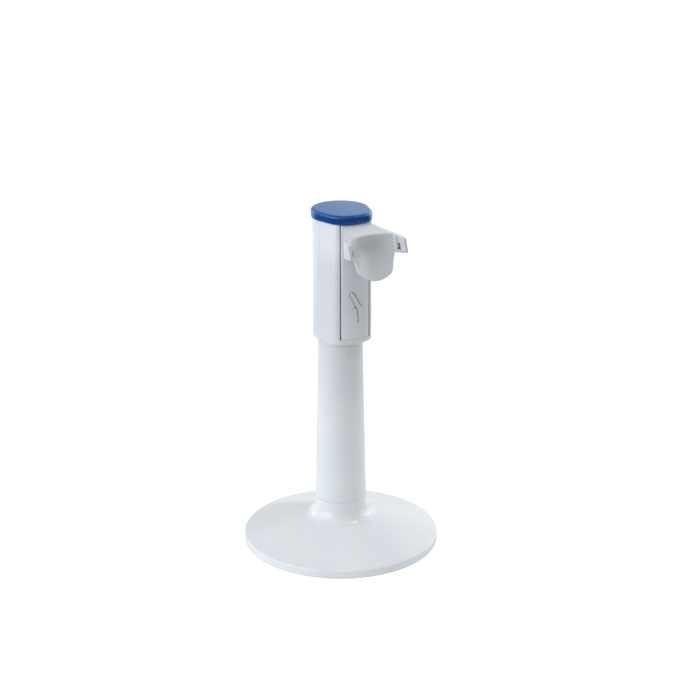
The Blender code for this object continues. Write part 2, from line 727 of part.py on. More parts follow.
def make_socket():
    """The round low-voltage inlet at the back, with its centre pin."""
    rear = HEAD_REAR_RADIUS - GAP
    body_rear = HEAD_REAR_RADIUS - HEAD_WALL - SOCKET_RADIUS / 2
    socket = box("dc_socket", -body_rear, -body_rear + SOCKET_BODY_DEPTH, body_left, body_left + SOCKET_BODY,
                 socket_height - SOCKET_BODY / 2, socket_height + SOCKET_BODY / 2, black_plastic)

    def at(u):
        return plan_point(u, 0, socket_height)

    join(socket, rod("socket_nose", at(-rear), at(-body_rear + GAP), SOCKET_RADIUS, sides=32))
    cut(socket, rod("socket_bore", at(-2 * rear), at(-body_rear + SOCKET_RADIUS), SOCKET_BORE))
    join(socket, rod("socket_pin", at(-rear + 2 * SOCKET_PIN), at(-body_rear + 2 * SOCKET_RADIUS),
                     SOCKET_PIN, sides=16))


def make_plugs():
    """The connector on the board and the shell's plug, whose tongue slides into it."""
    low = plug_height - PLUG_BODY
    high = plug_height + PLUG_BODY
    right = body_left + PLUG_BODY
    connector = box("board_connector", plug_rear - GAP - PLUG_BODY, plug_rear - GAP, body_left, right,
                    low, high, black_plastic)
    half_tongue = PLUG_TONGUE / 2
    slot_half = half_tongue + GAP
    slot_height = PLUG_TONGUE_WIDTH + GAP
    cut(connector, box("connector_slot", plug_rear - PLUG_TONGUE_REACH - 2 * GAP, plug_rear + GAP,
                       plug_middle - slot_half, plug_middle + slot_half,
                       plug_height - slot_height, plug_height + slot_height))
    plug = box("shell_plug", plug_rear, plug_front, body_left, right, low, high, black_plastic)
    join(plug, box("plug_tongue", plug_rear - PLUG_TONGUE_REACH, plug_rear + PLUG_TONGUE,
                   plug_middle - half_tongue, plug_middle + half_tongue,
                   plug_height - PLUG_TONGUE_WIDTH, plug_height + PLUG_TONGUE_WIDTH))
    return plug


# Charging shell

def screw_bar(name, side, near, far, radius, finish=None):
    """A round bar forward along the line of one of the arm's screws."""
    v = side * ARM_SCREW_SIDE
    return rod(name, plan_point(near, v, arm_screw_height), plan_point(far, v, arm_screw_height),
               radius, finish, 16)


def make_arm_screws():
    """The screws that pull the arm onto the panel, from inside the head."""
    screws = []
    head_far = screw_seat - 2 * GAP
    head_near = head_far - ARM_SCREW_HEAD_DEPTH
    for number, (side, word) in enumerate(SIDES, 1):
        screw = screw_bar("arm_screw_%d" % number, side, head_near + GAP, head_far + ARM_SCREW_LENGTH,
                          ARM_SCREW_RADIUS, steel)
        join(screw, screw_bar(word + "_screw_head", side, head_near, head_far, ARM_SCREW_HEAD))
        screws.append(screw)
    return screws


def make_front_panel():
    """The curved plate between the grooves, with two guide tongues behind its edges."""
    outer = HEAD_FRONT_RADIUS
    reach = math.asin(PANEL_HALF_WIDTH / outer)
    inner_reach = math.asin(PANEL_HALF_WIDTH / panel_inner)
    edge = (outer * math.cos(reach), PANEL_HALF_WIDTH)
    half = arc((0, 0), outer, 0, reach - PANEL_EDGE_ROUND / outer, 8)
    half += soft_corner(half.pop(), edge, (edge[0] - PANEL_EDGE_ROUND, PANEL_HALF_WIDTH))
    back = [(panel_inner * math.cos(inner_reach), PANEL_HALF_WIDTH)]
    tongue_outer = PANEL_HALF_WIDTH - GAP
    tongue_rear = back[0][0] - TONGUE_DEPTH
    tongue_inner = tongue_outer - TONGUE_THICKNESS
    back += [(back[0][0], tongue_outer), (tongue_rear, tongue_outer), (tongue_rear, tongue_inner)]
    root_angle = math.asin(tongue_inner / panel_inner)
    back += arc((0, 0), panel_inner, root_angle, 0, 6)
    panel = plan_prism("front_panel", mirrored_loop(half + back), panel_low, panel_high, plastic)
    for side, word in SIDES:
        seat_far = screw_seat - GAP
        cut(panel, screw_bar(word + "_screw_seat", side, 0, seat_far, ARM_SCREW_HEAD + GAP))
        cut(panel, screw_bar(word + "_screw_hole", side, 0, 2 * HEAD_FRONT_RADIUS, ARM_SCREW_RADIUS + GAP))
        cut(panel, wire(word + "_lead_hole", lead_path(side), LEAD_RADIUS + GAP, None))
    return panel


def mirrored_loop(half):
    """Closes a half outline that starts and ends on the middle line."""
    return half + [(u, -v) for u, v in reversed(half[1:-1])]


def root_reach(height):
    """Where the cradle's inner wall meets a prong, at a height."""
    return rim_edge_reach + (rim_height - height) * math.tan(PRONG_TIP_SLANT)


def bib_reach(height):
    """How far forward the middle of the cradle's back wall and bib lies, at a height."""
    if height >= bib_knee_height:
        return RIM_REACH
    knee_drop = BIB_KNEE_RADIUS * math.sin(BIB_LEAN)
    if height >= bib_knee_height - knee_drop:
        turn = math.asin((bib_knee_height - height) / BIB_KNEE_RADIUS)
        return RIM_REACH + BIB_KNEE_RADIUS * (1 - math.cos(turn))
    below = bib_knee_height - knee_drop - height
    return RIM_REACH + BIB_KNEE_RADIUS * (1 - math.cos(BIB_LEAN)) + below * math.tan(BIB_LEAN)


def dished_reach(height, v):
    """How far forward the cradle's back wall lies at a height and a distance to the side."""
    if height >= prong_low:
        dish = root_reach(height) - bib_reach(height)
    else:
        at_prongs = root_reach(prong_low) - bib_reach(prong_low)
        dish = at_prongs + (BIB_DISH - at_prongs) * (prong_low - height) / (prong_low - bib_bottom)
    return bib_reach(height) + dish * (v / CRADLE_HALF_WIDTH) ** 2


def cradle_section(height):
    """Plan of the space between the prongs at a height: dished back, then splayed inner faces."""
    root = root_reach(height)
    points = []
    for step in range(-8, 9):
        v = CRADLE_HALF_WIDTH * step / 8
        points.append((dished_reach(height, v), v))
    far = 2 * prong_tip_reach
    far_half_width = CRADLE_HALF_WIDTH + (far - root) * math.tan(PRONG_ANGLE)
    points += [(far, far_half_width), (far, -far_half_width)]
    return [plan_point(u, v, height) for u, v in points]


def arm_plan():
    """Plan of arm and prongs: root, straight flare, rounded corner and prongs past their tips."""
    behind = (ARM_ROOT_REACH - 2 * ARM_WALL, ARM_ROOT_HALF_WIDTH)
    root = (ARM_ROOT_REACH, ARM_ROOT_HALF_WIDTH)
    corner = (arm_flare_reach, arm_flare_half_width)
    tip_inner = CRADLE_HALF_WIDTH + (prong_tip_reach - rim_edge_reach) * math.tan(PRONG_ANGLE)
    tip = (prong_tip_reach, tip_inner + PRONG_TIP_WIDTH)
    beyond = prong_tip_reach + 2 * PRONG_DEPTH * math.tan(PRONG_TIP_SLANT)
    bend = soft_corner(towards(corner, root, ARM_CORNER_SOFT), corner, towards(corner, tip, ARM_CORNER_SOFT))
    return mirrored([behind, root] + bend + [tip, (beyond, tip[1])])


def arm_profile():
    """Side view of arm and prongs: flat root, slope down to the rim, slanted tips, gusset below."""
    tip_low = prong_tip_reach + PRONG_DEPTH * math.tan(PRONG_TIP_SLANT)
    behind = arm_root - 4 * ARM_WALL
    return [
        (behind, arm_top), (ARM_FLAT_REACH, arm_top), (rim_edge_reach, rim_height),
        (prong_tip_reach, rim_height), (tip_low, prong_low + PRONG_TIP_RISE),
        (arm_flare_reach, prong_low), (RIM_REACH, prong_low), (behind, underside(behind))]


def roof(name, side):
    """A block that slopes the arm's top down to one flank, from a crease between root and rim."""
    crease_rear = plan_point(
        ARM_FLAT_REACH - CREASE_SETBACK, side * (ARM_ROOT_HALF_WIDTH + CREASE_SPREAD), arm_top)
    crease_front = plan_point(rim_edge_reach, side * CRADLE_HALF_WIDTH, rim_height)
    edge_fall = (arm_flare_half_width - CRADLE_HALF_WIDTH) * math.tan(PRONG_TOP_FALL)
    edge = plan_point(arm_flare_reach, side * arm_flare_half_width, rim_height - edge_fall)
    along = (crease_front - crease_rear).normalized()
    up = along.cross(edge - crease_rear).normalized()
    if up.z < 0:
        up.negate()
    across = up.cross(along)
    length = 2 * arm_flare_reach
    height = arm_flare_half_width
    shape = bmesh.new()
    bmesh.ops.create_cube(shape, size=1)
    size = Matrix.Diagonal(Vector((length, length, height))).to_4x4()
    frame = Matrix((along, across, up)).transposed().to_4x4()
    middle = (crease_rear + crease_front) / 2 + up * height / 2
    bmesh.ops.transform(shape, matrix=Matrix.Translation(middle) @ frame @ size, verts=shape.verts)
    return place(name, mesh_from(name, shape))


def bib_outline(wall):
    """Front view of the bib, shrunk by a wall: straight flanks that close in, then a wide round end."""
    bottom_centre = (0, bib_bottom + BIB_BOTTOM_RADIUS)
    radius = BIB_BOTTOM_RADIUS - wall
    reach = math.asin(BIB_BOTTOM_HALF_WIDTH / BIB_BOTTOM_RADIUS)
    shoulder = (CRADLE_HALF_WIDTH - GAP - wall, prong_low)
    low_corner = (radius * math.sin(reach), bottom_centre[1] - radius * math.cos(reach))
    straight_down = -math.pi / 2
    round_end = straight_down + reach - BIB_CORNER_SOFT / BIB_BOTTOM_RADIUS
    half = arc(bottom_centre, radius, straight_down, round_end, 7)
    half += soft_corner(half.pop(), low_corner, towards(low_corner, shoulder, BIB_CORNER_SOFT))
    if wall == 0:
        half += [shoulder, (shoulder[0], prong_low + BIB_THICKNESS * 2)]
    else:
        half += [towards(shoulder, low_corner, wall)]
    return half + [(-v, z) for v, z in reversed(half) if v > 0]


def bib_depth(height):
    """Depth of the bib's side flanges, which grow from the prongs down to its foot."""
    share = (prong_low - height) / (prong_low - bib_bottom)
    return BIB_THICKNESS + (BIB_FOOT_DEPTH - BIB_THICKNESS) * min(max(share, 0.0), 1.0)


def bib_slab(name, front, back, wall):
    """A dished slab between two depths behind the bib's face, trimmed to its shrunk outline."""
    shape = bmesh.new()
    columns = 10
    rows = 10
    half = CRADLE_HALF_WIDTH + 2 * BIB_THICKNESS
    top = prong_low + 4 * BIB_THICKNESS
    bottom = bib_bottom - BIB_THICKNESS
    layers = []
    for depth in (front, back):
        grid = []
        for row in range(rows + 1):
            z = top + (bottom - top) * row / rows
            sides = [-half + 2 * half * column / columns for column in range(columns + 1)]
            grid.append([shape.verts.new(plan_point(dished_reach(z, v) - depth(z), v, z)) for v in sides])
        for upper, lower in zip(grid, grid[1:]):
            for i in range(columns):
                shape.faces.new((upper[i], lower[i], lower[i + 1], upper[i + 1]))
        layers.append(grid)
    face, rear = layers
    rims = [(face[0], rear[0]), (face[-1], rear[-1])]
    rims += [([line[end] for line in face], [line[end] for line in rear]) for end in (0, -1)]
    for first, second in rims:
        for i in range(len(first) - 1):
            shape.faces.new((first[i], first[i + 1], second[i + 1], second[i]))
    slab = place(name, mesh_from(name, shape))
    near = RIM_REACH - 5 * BIB_THICKNESS
    far = 2 * prong_tip_reach
    trim = prism(name + "_trim", bib_outline(wall), far - near, from_front(near, far))
    cut(slab, trim, how="INTERSECT")
    return slab


def make_bib():
    """The dished wedge that leans forward below its knee."""
    return bib_slab("bib", lambda z: GAP / 2, bib_depth, 0)


def make_bib_hollow():
    """The room behind the bib's face, between its flanges."""
    return bib_slab("bib_hollow", lambda z: BIB_THICKNESS, lambda z: bib_depth(z) + BIB_THICKNESS, BIB_THICKNESS)


def prong_frame(side):
    """Origin at the prong's root on its inner face; unit vectors along it and out through it."""
    root = plan_point(rim_edge_reach, side * CRADLE_HALF_WIDTH, rim_height)
    along = plan_point(math.cos(PRONG_ANGLE), side * math.sin(PRONG_ANGLE), 0)
    outward = plan_point(-math.sin(PRONG_ANGLE), side * math.cos(PRONG_ANGLE), 0)
    return root, along, outward


def slot_block(name, side, width, inner, outer, low, high, finish=None):
    """A leaning block in a prong's slot; its depths are measured out from the inner face."""
    root, along, outward = prong_frame(side)
    shape = bmesh.new()
    slant = math.tan(PRONG_TIP_SLANT)
    corners = []
    for z in (low, high):
        lean = plan_point((rim_height - z) * slant, 0, 0)
        for step, depth in ((-0.5, inner), (0.5, inner), (0.5, outer), (-0.5, outer)):
            distance = SLOT_FROM_ROOT + SLOT_WIDTH / 2 + step * width
            point = root + lean + along * distance + outward * depth
            point.z = z
            corners.append(shape.verts.new(point))
    for face in ((0, 1, 2, 3), (4, 5, 6, 7), (0, 1, 5, 4), (1, 2, 6, 5), (2, 3, 7, 6), (3, 0, 4, 7)):
        shape.faces.new([corners[i] for i in face])
    return place(name, mesh_from(name, shape), finish)


slot_floor = rim_height - SLOT_FLOOR_DROP
contact_low = slot_floor + GAP
contact_depth = SLOT_DEPTH - CONTACT_TRAVEL - CONTACT_BACK_ROOM


def make_cradle_arm():
    """The arm, cradle, prongs and bib as one moulding, hollow from below for the leads."""
    arm = plan_prism("cradle_arm", arm_plan(), prong_low - 2 * ARM_ROOT_DEPTH, arm_top + ARM_WALL, plastic)
    cut(arm, prism("arm_side_view", arm_profile(), 4 * arm_flare_half_width, from_side()), how="INTERSECT")
    seat = ring_profile(arm_seat_radius, 0, head_bottom, cap_top)
    cut(arm, turned("arm_seat", seat, None, 144))
    cut(arm, roof("left_roof", -1), roof("right_roof", 1))
    heights = [arm_top + ARM_WALL, rim_height]
    rows = 6
    drop = PRONG_DEPTH + 3 * BIB_THICKNESS
    heights += [rim_height - drop * step / rows for step in range(1, rows + 1)]
    cut(arm, loft("cradle_space", [cradle_section(height) for height in heights]))
    join(arm, make_bib())
    cut(arm, make_bib_hollow())
    for side, word in SIDES:
        cut(arm, slot_block(word + "_slot", side, SLOT_WIDTH, -SLOT_DEPTH, SLOT_DEPTH, slot_floor, arm_top))
    cut(arm, make_pocket())
    for side, word in SIDES:
        join(arm, screw_bar(word + "_boss", side, arm_root + GAP, arm_root + ARM_BOSS_LENGTH + ARM_WALL,
                            ARM_BOSS_RADIUS))
        hole_end = screw_seat + ARM_SCREW_LENGTH
        cut(arm, screw_bar(word + "_boss_hole", side, 0, hole_end, ARM_SCREW_RADIUS + GAP))
        cut(arm, wire(word + "_lead_channel", lead_path(side, 2 * GAP), LEAD_RADIUS + GAP, None))
    return arm


def flare_half_width(u):
    """Half width of the arm's flank at a distance from the axis."""
    rise = (arm_flare_half_width - ARM_ROOT_HALF_WIDTH) / (arm_flare_reach - ARM_ROOT_REACH)
    return ARM_ROOT_HALF_WIDTH + (u - ARM_ROOT_REACH) * rise


def pocket_plan(shrink):
    near = pocket_near + shrink
    far = pocket_far - shrink
    wall = ARM_WALL / math.cos(PRONG_ANGLE) + shrink
    return [(near, flare_half_width(near) - wall), (far, flare_half_width(far) - wall),
            (far, -flare_half_width(far) + wall), (near, -flare_half_width(near) + wall)]


def make_pocket():
    """The hollow under the arm's roof, as deep as the sloping top allows."""
    return plan_prism("arm_pocket", pocket_plan(0), prong_low - 2 * ARM_ROOT_DEPTH, pocket_top)


def cover_profile():
    near = pocket_near
    far = pocket_far
    return [(near, underside(near)), (far, underside(far)),
            (far, underside(far) + ARM_WALL), (near, underside(near) + ARM_WALL)]


def make_arm_cover():
    """The plate that closes the arm from below, cut to the gusset's slope."""
    cover = plan_prism("arm_cover", pocket_plan(GAP), prong_low - 2 * ARM_ROOT_DEPTH, pocket_top, plastic)
    cut(cover, prism("cover_slope", cover_profile(), 4 * arm_flare_half_width, from_side()), how="INTERSECT")
    return cover


def lead_path(side, past_end=0.0):
    """Middle line of a lead: from the plug through panel and pocket to the back of a slot."""
    root, along, outward = prong_frame(side)
    contact_middle = contact_low + CONTACT_HEIGHT / 2
    lean = plan_point((rim_height - contact_middle) * math.tan(PRONG_TIP_SLANT), 0, 0)
    behind_slot = root + lean + along * (SLOT_FROM_ROOT + SLOT_WIDTH / 2)
    end = behind_slot + outward * (SLOT_DEPTH + GAP)
    end.z = contact_middle
    start_side = plug_middle + side * LEAD_SPREAD
    wide = flare_half_width(pocket_far) - 2 * ARM_WALL
    bend = plan_point(pocket_far - ARM_WALL, side * wide, contact_middle)
    return [plan_point(plug_front + GAP, start_side, lead_height),
            plan_point(pocket_near + ARM_WALL, start_side, lead_height),
            bend, end + (end - bend).normalized() * past_end]


def make_leads():
    return [wire("lead_" + word, lead_path(side), LEAD_RADIUS, (BLACK, 0.5, 0.0)) for side, word in SIDES]


def contact_point(side):
    """Middle of a contact's front face, where its joint's axis starts."""
    root, along, outward = prong_frame(side)
    middle = contact_low + CONTACT_HEIGHT / 2
    lean = plan_point((rim_height - middle) * math.tan(PRONG_TIP_SLANT), 0, 0)
    point = root + lean + along * (SLOT_FROM_ROOT + SLOT_WIDTH / 2)
    point.z = middle
    return point


def make_contacts():
    """A rounded blade in each prong's slot, at its lower end, each on its own axis."""
    for side, word in SIDES:
        blade = slot_block("contact_" + word, side, SLOT_WIDTH - 2 * GAP, -CONTACT_PROUD, contact_depth,
                           contact_low, contact_low + CONTACT_HEIGHT, (NICKEL, 0.30, 1.0))
        edge = blade.modifiers.new("Rounded edges", "BEVEL")
        edge.width = CONTACT_EDGE_ROUND
        edge.segments = 2
        hang("contact_%s_axis" % word, contact_point(side), blade)


make_base_shell()
make_base_plate()
make_ballast()
make_feet_and_screws()
make_column()
make_column_ring()
make_clamp()
make_head_housing()
make_cap()
make_board()
make_socket()
shell_pieces = [make_plugs(), make_front_panel(), make_cradle_arm(), make_arm_cover()]
shell_pieces += make_arm_screws() + make_leads()
hang("shell_axis", plan_point(HEAD_FRONT_RADIUS, 0, panel_high), *shell_pieces)
make_contacts()
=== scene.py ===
# %% [markdown]
# # A charging stand for a laboratory pipette
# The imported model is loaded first. It fixes where every piece is and what moves. Each piece that
# shows is then made again with fine, rounded edges and a finish of its own, and rides on its body.

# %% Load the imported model
import math

import bmesh
import bpy
from mathutils import Matrix, Vector


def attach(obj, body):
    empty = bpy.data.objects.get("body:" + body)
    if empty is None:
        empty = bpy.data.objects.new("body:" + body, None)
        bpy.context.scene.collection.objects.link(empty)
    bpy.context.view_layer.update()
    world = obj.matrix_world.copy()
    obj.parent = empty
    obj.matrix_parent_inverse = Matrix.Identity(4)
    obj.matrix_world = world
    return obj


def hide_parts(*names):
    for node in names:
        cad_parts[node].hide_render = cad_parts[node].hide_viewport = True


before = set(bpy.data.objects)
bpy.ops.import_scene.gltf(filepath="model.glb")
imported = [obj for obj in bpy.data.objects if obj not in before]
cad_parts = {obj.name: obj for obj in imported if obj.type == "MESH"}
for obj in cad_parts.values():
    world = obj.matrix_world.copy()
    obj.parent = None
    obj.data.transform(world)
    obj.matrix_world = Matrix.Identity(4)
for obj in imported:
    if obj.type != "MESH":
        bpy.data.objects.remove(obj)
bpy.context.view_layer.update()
MM = 0.001

# %% [markdown]
# ## Camera
# A product photograph like this one is taken from a little above with a long lens, so upright edges
# stay almost parallel. The camera stands 1.3 m away and looks down by about 19 degrees.

# %% Camera
lens = bpy.data.cameras.new("camera")
lens.lens = 88.18
lens.sensor_width = 36
camera = bpy.data.objects.new("camera", lens)
camera.location = (-0.6094, -1.1461, 0.6217)
camera.rotation_euler = (math.radians(70.61), 0, math.radians(-28.337))
bpy.context.scene.collection.objects.link(camera)
bpy.context.scene.camera = camera
print("camera distance: %.2f m" % camera.location.length)

# %% [markdown]
# ## Studio
# White plastic on a white ground needs light from all round, or it turns grey. The sky is an even
# tent with brighter walls at the sides and behind. They draw a light edge on both sides of every
# upright form and leave the soft grey core between them. Three small soft boxes of one height put
# the three small highlights in the fillet of the neck, and one high up lights the arm's rim. The
# ground is white paper lit from behind, so it stays white in the picture, and it darkens far from
# the stand so that little light comes from below.

# %% Helpers for node trees and colours
def linear(code, alpha=1.0):
    """Turns an sRGB hex colour into the linear colour that shaders need."""
    values = [int(code[i:i + 2], 16) / 255 for i in (1, 3, 5)]
    return tuple(v / 12.92 if v <= 0.04045 else ((v + 0.055) / 1.055) ** 2.4 for v in values) + (alpha,)


def add(tree, kind, inputs=None, **settings):
    """Adds a node, sets it up, and fills or links its inputs."""
    node = tree.nodes.new(kind)
    for name, value in settings.items():
        setattr(node, name, value)
    for name, value in (inputs or {}).items():
        if isinstance(value, bpy.types.NodeSocket):
            tree.links.new(value, node.inputs[name])
        else:
            node.inputs[name].default_value = value
    return node


def colour_mix(tree, factor, first, second):
    """Blends two sRGB hex colours by a factor."""
    mix = add(tree, "ShaderNodeMix", data_type="RGBA")
    tree.links.new(factor, mix.inputs[0])
    mix.inputs[6].default_value = linear(first)
    mix.inputs[7].default_value = linear(second)
    return mix.outputs[2]


print("white as a linear colour:", [round(v, 3) for v in linear("#E6E9EB")])

# %% Sky: a tent of light with bright walls
sky = bpy.data.worlds.new("tent")
sky.use_nodes = True
bpy.context.scene.world = sky
tree = sky.node_tree
tree.nodes.clear()
TENT = 0.40
TENT_TINT = (0.97, 0.985, 1.0, 1.0)
# Each bright part has a name, a direction, the cosines of its edge and its core, and a brightness.
BRIGHT_PARTS = (
    ("left wall", (-0.98, -0.15, 0.15), 0.45, 1.0, 0.75),
    ("left panel", (-0.97, 0.02, 0.26), 0.86, 0.98, 1.65),
    ("rear left wall", (-0.62, 0.76, 0.20), 0.60, 1.0, 0.7),
    ("rear right wall", (0.93, 0.30, 0.20), 0.60, 1.0, 1.35),
    ("right panel", (0.90, -0.28, 0.34), 0.86, 0.98, 0.95),
    ("ceiling", (-0.10, -0.20, 0.97), 0.90, 0.97, 0.8),
)
direction = add(tree, "ShaderNodeTexCoord").outputs["Generated"]
brightness = TENT
for name, middle, edge, core, gain in BRIGHT_PARTS:
    facing = add(tree, "ShaderNodeVectorMath", {0: direction, 1: Vector(middle).normalized()},
                 operation="DOT_PRODUCT", label=name).outputs["Value"]
    glow = add(tree, "ShaderNodeMapRange", {
        "Value": facing, "From Min": edge, "From Max": core, "To Min": 0.0, "To Max": gain},
        interpolation_type="SMOOTHSTEP").outputs["Result"]
    brightness = add(tree, "ShaderNodeMath", {0: glow, 1: brightness}, operation="ADD").outputs["Value"]
light = add(tree, "ShaderNodeBackground", {"Color": TENT_TINT, "Strength": brightness})
add(tree, "ShaderNodeOutputWorld", {"Surface": light.outputs["Background"]})
print("bright parts of the tent:", [name for name, *_ in BRIGHT_PARTS])

# %% Soft boxes
STAND_MIDDLE = Vector((0, 0, 0.15))


def soft_box(name, place, width, radiance):
    """A square area light of a given brightness that points at the stand's middle."""
    lamp = bpy.data.lights.new(name, "AREA")
    lamp.shape = "SQUARE"
    lamp.size = width
    lamp.energy = radiance * math.pi * width ** 2
    made = bpy.data.objects.new(name, lamp)
    made.location = place
    made.rotation_euler = (STAND_MIDDLE - Vector(place)).to_track_quat("-Z", "Y").to_euler()
    bpy.context.scene.collection.objects.link(made)
    return made


soft_box("front_left_box", (-1.22, -0.47, 0.44), 0.20, 7.0)
soft_box("right_box", (1.27, 0.23, 0.44), 0.20, 7.0)
soft_box("rear_left_box", (-0.56, 1.17, 0.44), 0.20, 7.0)
soft_box("high_right_box", (0.59, -0.43, 1.35), 0.30, 6.0)

# %% Floor: a plain pale sweep
GROUND_HALF = 9.0
PALE_RADIUS = 0.28
DARK_RADIUS = 0.62
BACKDROP = Vector((0.47, 0.88, 0.0))
BACKDROP_NEAR = 0.2
BACKDROP_FAR = 0.7
BACKDROP_GLOW = 0.95
ground_mesh = bpy.data.meshes.new("floor")
ground_mesh.from_pydata([(-GROUND_HALF, -GROUND_HALF, 0), (GROUND_HALF, -GROUND_HALF, 0),
                         (GROUND_HALF, GROUND_HALF, 0), (-GROUND_HALF, GROUND_HALF, 0)], [], [(0, 1, 2, 3)])
ground = bpy.data.objects.new("floor", ground_mesh)
bpy.context.scene.collection.objects.link(ground)
paper = bpy.data.materials.new("white_paper_sweep")
paper.use_nodes = True
paper_shader = paper.node_tree.nodes["Principled BSDF"]
tree = paper.node_tree
ground_place = add(tree, "ShaderNodeTexCoord").outputs["Object"]
from_stand = add(tree, "ShaderNodeVectorMath", {0: ground_place}, operation="LENGTH").outputs["Value"]
away = add(tree, "ShaderNodeMapRange", {
    "Value": from_stand, "From Min": PALE_RADIUS, "From Max": DARK_RADIUS},
    interpolation_type="SMOOTHSTEP").outputs["Result"]
tree.links.new(colour_mix(tree, away, "#ECEDEE", "#3A3B3C"), paper_shader.inputs["Base Color"])
behind = add(tree, "ShaderNodeVectorMath", {0: ground_place, 1: BACKDROP},
             operation="DOT_PRODUCT").outputs["Value"]
backdrop = add(tree, "ShaderNodeMapRange", {
    "Value": behind, "From Min": BACKDROP_NEAR, "From Max": BACKDROP_FAR, "To Max": BACKDROP_GLOW},
    interpolation_type="SMOOTHSTEP").outputs["Result"]
seen_directly = add(tree, "ShaderNodeLightPath").outputs["Is Camera Ray"]
glow = add(tree, "ShaderNodeMath", {0: seen_directly, 1: backdrop}, operation="MAXIMUM").outputs["Value"]
paper_shader.inputs["Roughness"].default_value = 0.9
paper_shader.inputs["Emission Color"].default_value = (1.0, 1.0, 1.0, 1.0)
tree.links.new(glow, paper_shader.inputs["Emission Strength"])
ground_mesh.materials.append(paper)
bpy.context.scene.view_settings.view_transform = "Standard"
print("floor is %.0f m across" % (2 * GROUND_HALF))

# %% [markdown]
# ## Finishes
# Every finish starts from the real material. A moulded plastic takes the fine grain of its mould,
# which scatters light a little, and its gloss is never quite even. The grain of such a mould is about
# 0.1 mm across, too fine to show here, so it is drawn three or four times coarser.

# %% Helpers for finishes
def per_metre(size_mm):
    """Scale of a pattern whose features are this many millimetres across."""
    return 1000 / size_mm


def new_finish(name):
    """A new material with its tree, its shader and the place on the object that patterns start from."""
    made = bpy.data.materials.new(name)
    made.use_nodes = True
    shader = made.node_tree.nodes["Principled BSDF"]
    place = add(made.node_tree, "ShaderNodeTexCoord").outputs["Object"]
    return made, made.node_tree, shader, place


def noise(tree, place, size_mm, detail):
    """Soft random clouds whose features are this many millimetres across."""
    return add(tree, "ShaderNodeTexNoise", {"Vector": place, "Scale": per_metre(size_mm), "Detail": detail})


def between(tree, value, low, high, start=0.35, end=0.65):
    """Spreads a noise value over a range of roughness or strength."""
    return add(tree, "ShaderNodeMapRange", {
        "Value": value, "From Min": start, "From Max": end, "To Min": low, "To Max": high}).outputs["Result"]


def relief(tree, height, strength, depth_mm):
    """Normals of a fine relief with this depth."""
    return add(tree, "ShaderNodeBump", {
        "Height": height, "Strength": strength, "Distance": depth_mm * MM}).outputs["Normal"]


print("a 0.4 mm grain has scale", per_metre(0.4))

# %% [markdown]
# ### White moulded ABS
# The stand's body is ABS, injection moulded in a mould with a very fine satin grain. It has an even,
# cool white, a soft sheen and slow changes of gloss where the melt cooled at different speeds. The
# arm is moulded on its own, and its white is made a little greyer: painted shade for its dished cradle.

# %% White moulded ABS
def moulded_plastic(name, light_code, dark_code, gloss_low, gloss_high, grain_mm, grain_strength, ior=1.53):
    """An injection-moulded plastic: slow clouds of colour and gloss, and a fine mould grain."""
    made, tree, shader, place = new_finish(name)
    clouds = noise(tree, place, 40, 3.0)
    colour = colour_mix(tree, between(tree, clouds.outputs["Fac"], 0.0, 1.0), light_code, dark_code)
    sheen = noise(tree, place, 8, 2.0)
    grain = noise(tree, place, grain_mm, 1.0)
    tree.links.new(colour, shader.inputs["Base Color"])
    tree.links.new(between(tree, sheen.outputs["Fac"], gloss_low, gloss_high), shader.inputs["Roughness"])
    tree.links.new(relief(tree, grain.outputs["Fac"], grain_strength, 0.03), shader.inputs["Normal"])
    shader.inputs["IOR"].default_value = ior
    return made


white_abs = moulded_plastic("white_moulded_abs", "#E1E5E8", "#DCE1E5", 0.15, 0.19, 1.2, 0.03)
# Painted shade: the arm's white is a little greyer than the body's, so that its dished cradle reads darker.
arm_abs_greyed_for_painted_shade = moulded_plastic("satin_abs_of_the_arm_greyed_for_painted_shade", "#D3D7DB", "#CFD3D8", 0.15, 0.19, 1.2, 0.03)
grey_abs = moulded_plastic("grey_moulded_abs", "#A6ABB0", "#9DA2A8", 0.45, 0.55, 0.5, 0.25)
black_nylon = moulded_plastic("black_moulded_nylon", "#1B1C1E", "#232427", 0.42, 0.52, 0.4, 0.20)
print("made", white_abs.name, grey_abs.name, black_nylon.name)

# %% [markdown]
# ### Blue polished ABS
# The cap comes from a polished mould, so it has no grain and mirrors the tent sharply. Seen at a low
# angle its flat top mirrors the bright rear wall and turns pale, which the refractive index gives.
# Where it turns away from the eye its colour is mixed towards a lighter blue, a painted light that makes the
# flat top lighter than the sides.

# %% Blue polished ABS
blue_abs = moulded_plastic("blue_polished_abs", "#084791", "#074388", 0.05, 0.08, 4.0, 0.02, 1.50)
tree = blue_abs.node_tree
blue_shader = tree.nodes["Principled BSDF"]
deep = blue_shader.inputs["Base Color"].links[0].from_socket
# Painted light: the blue is mixed lighter where the surface is seen at a slant, so the flat top reads more
# lit than the sides.
slant = add(tree, "ShaderNodeLayerWeight", {"Blend": 0.5}).outputs["Facing"]
pale = add(tree, "ShaderNodeMix", data_type="RGBA")
tree.links.new(between(tree, slant, 0.0, 1.0, 0.25, 0.70), pale.inputs[0])
tree.links.new(deep, pale.inputs[6])
pale.inputs[7].default_value = linear("#0C62A4")
tree.links.new(pale.outputs[2], blue_shader.inputs["Base Color"])
print("made", blue_abs.name)
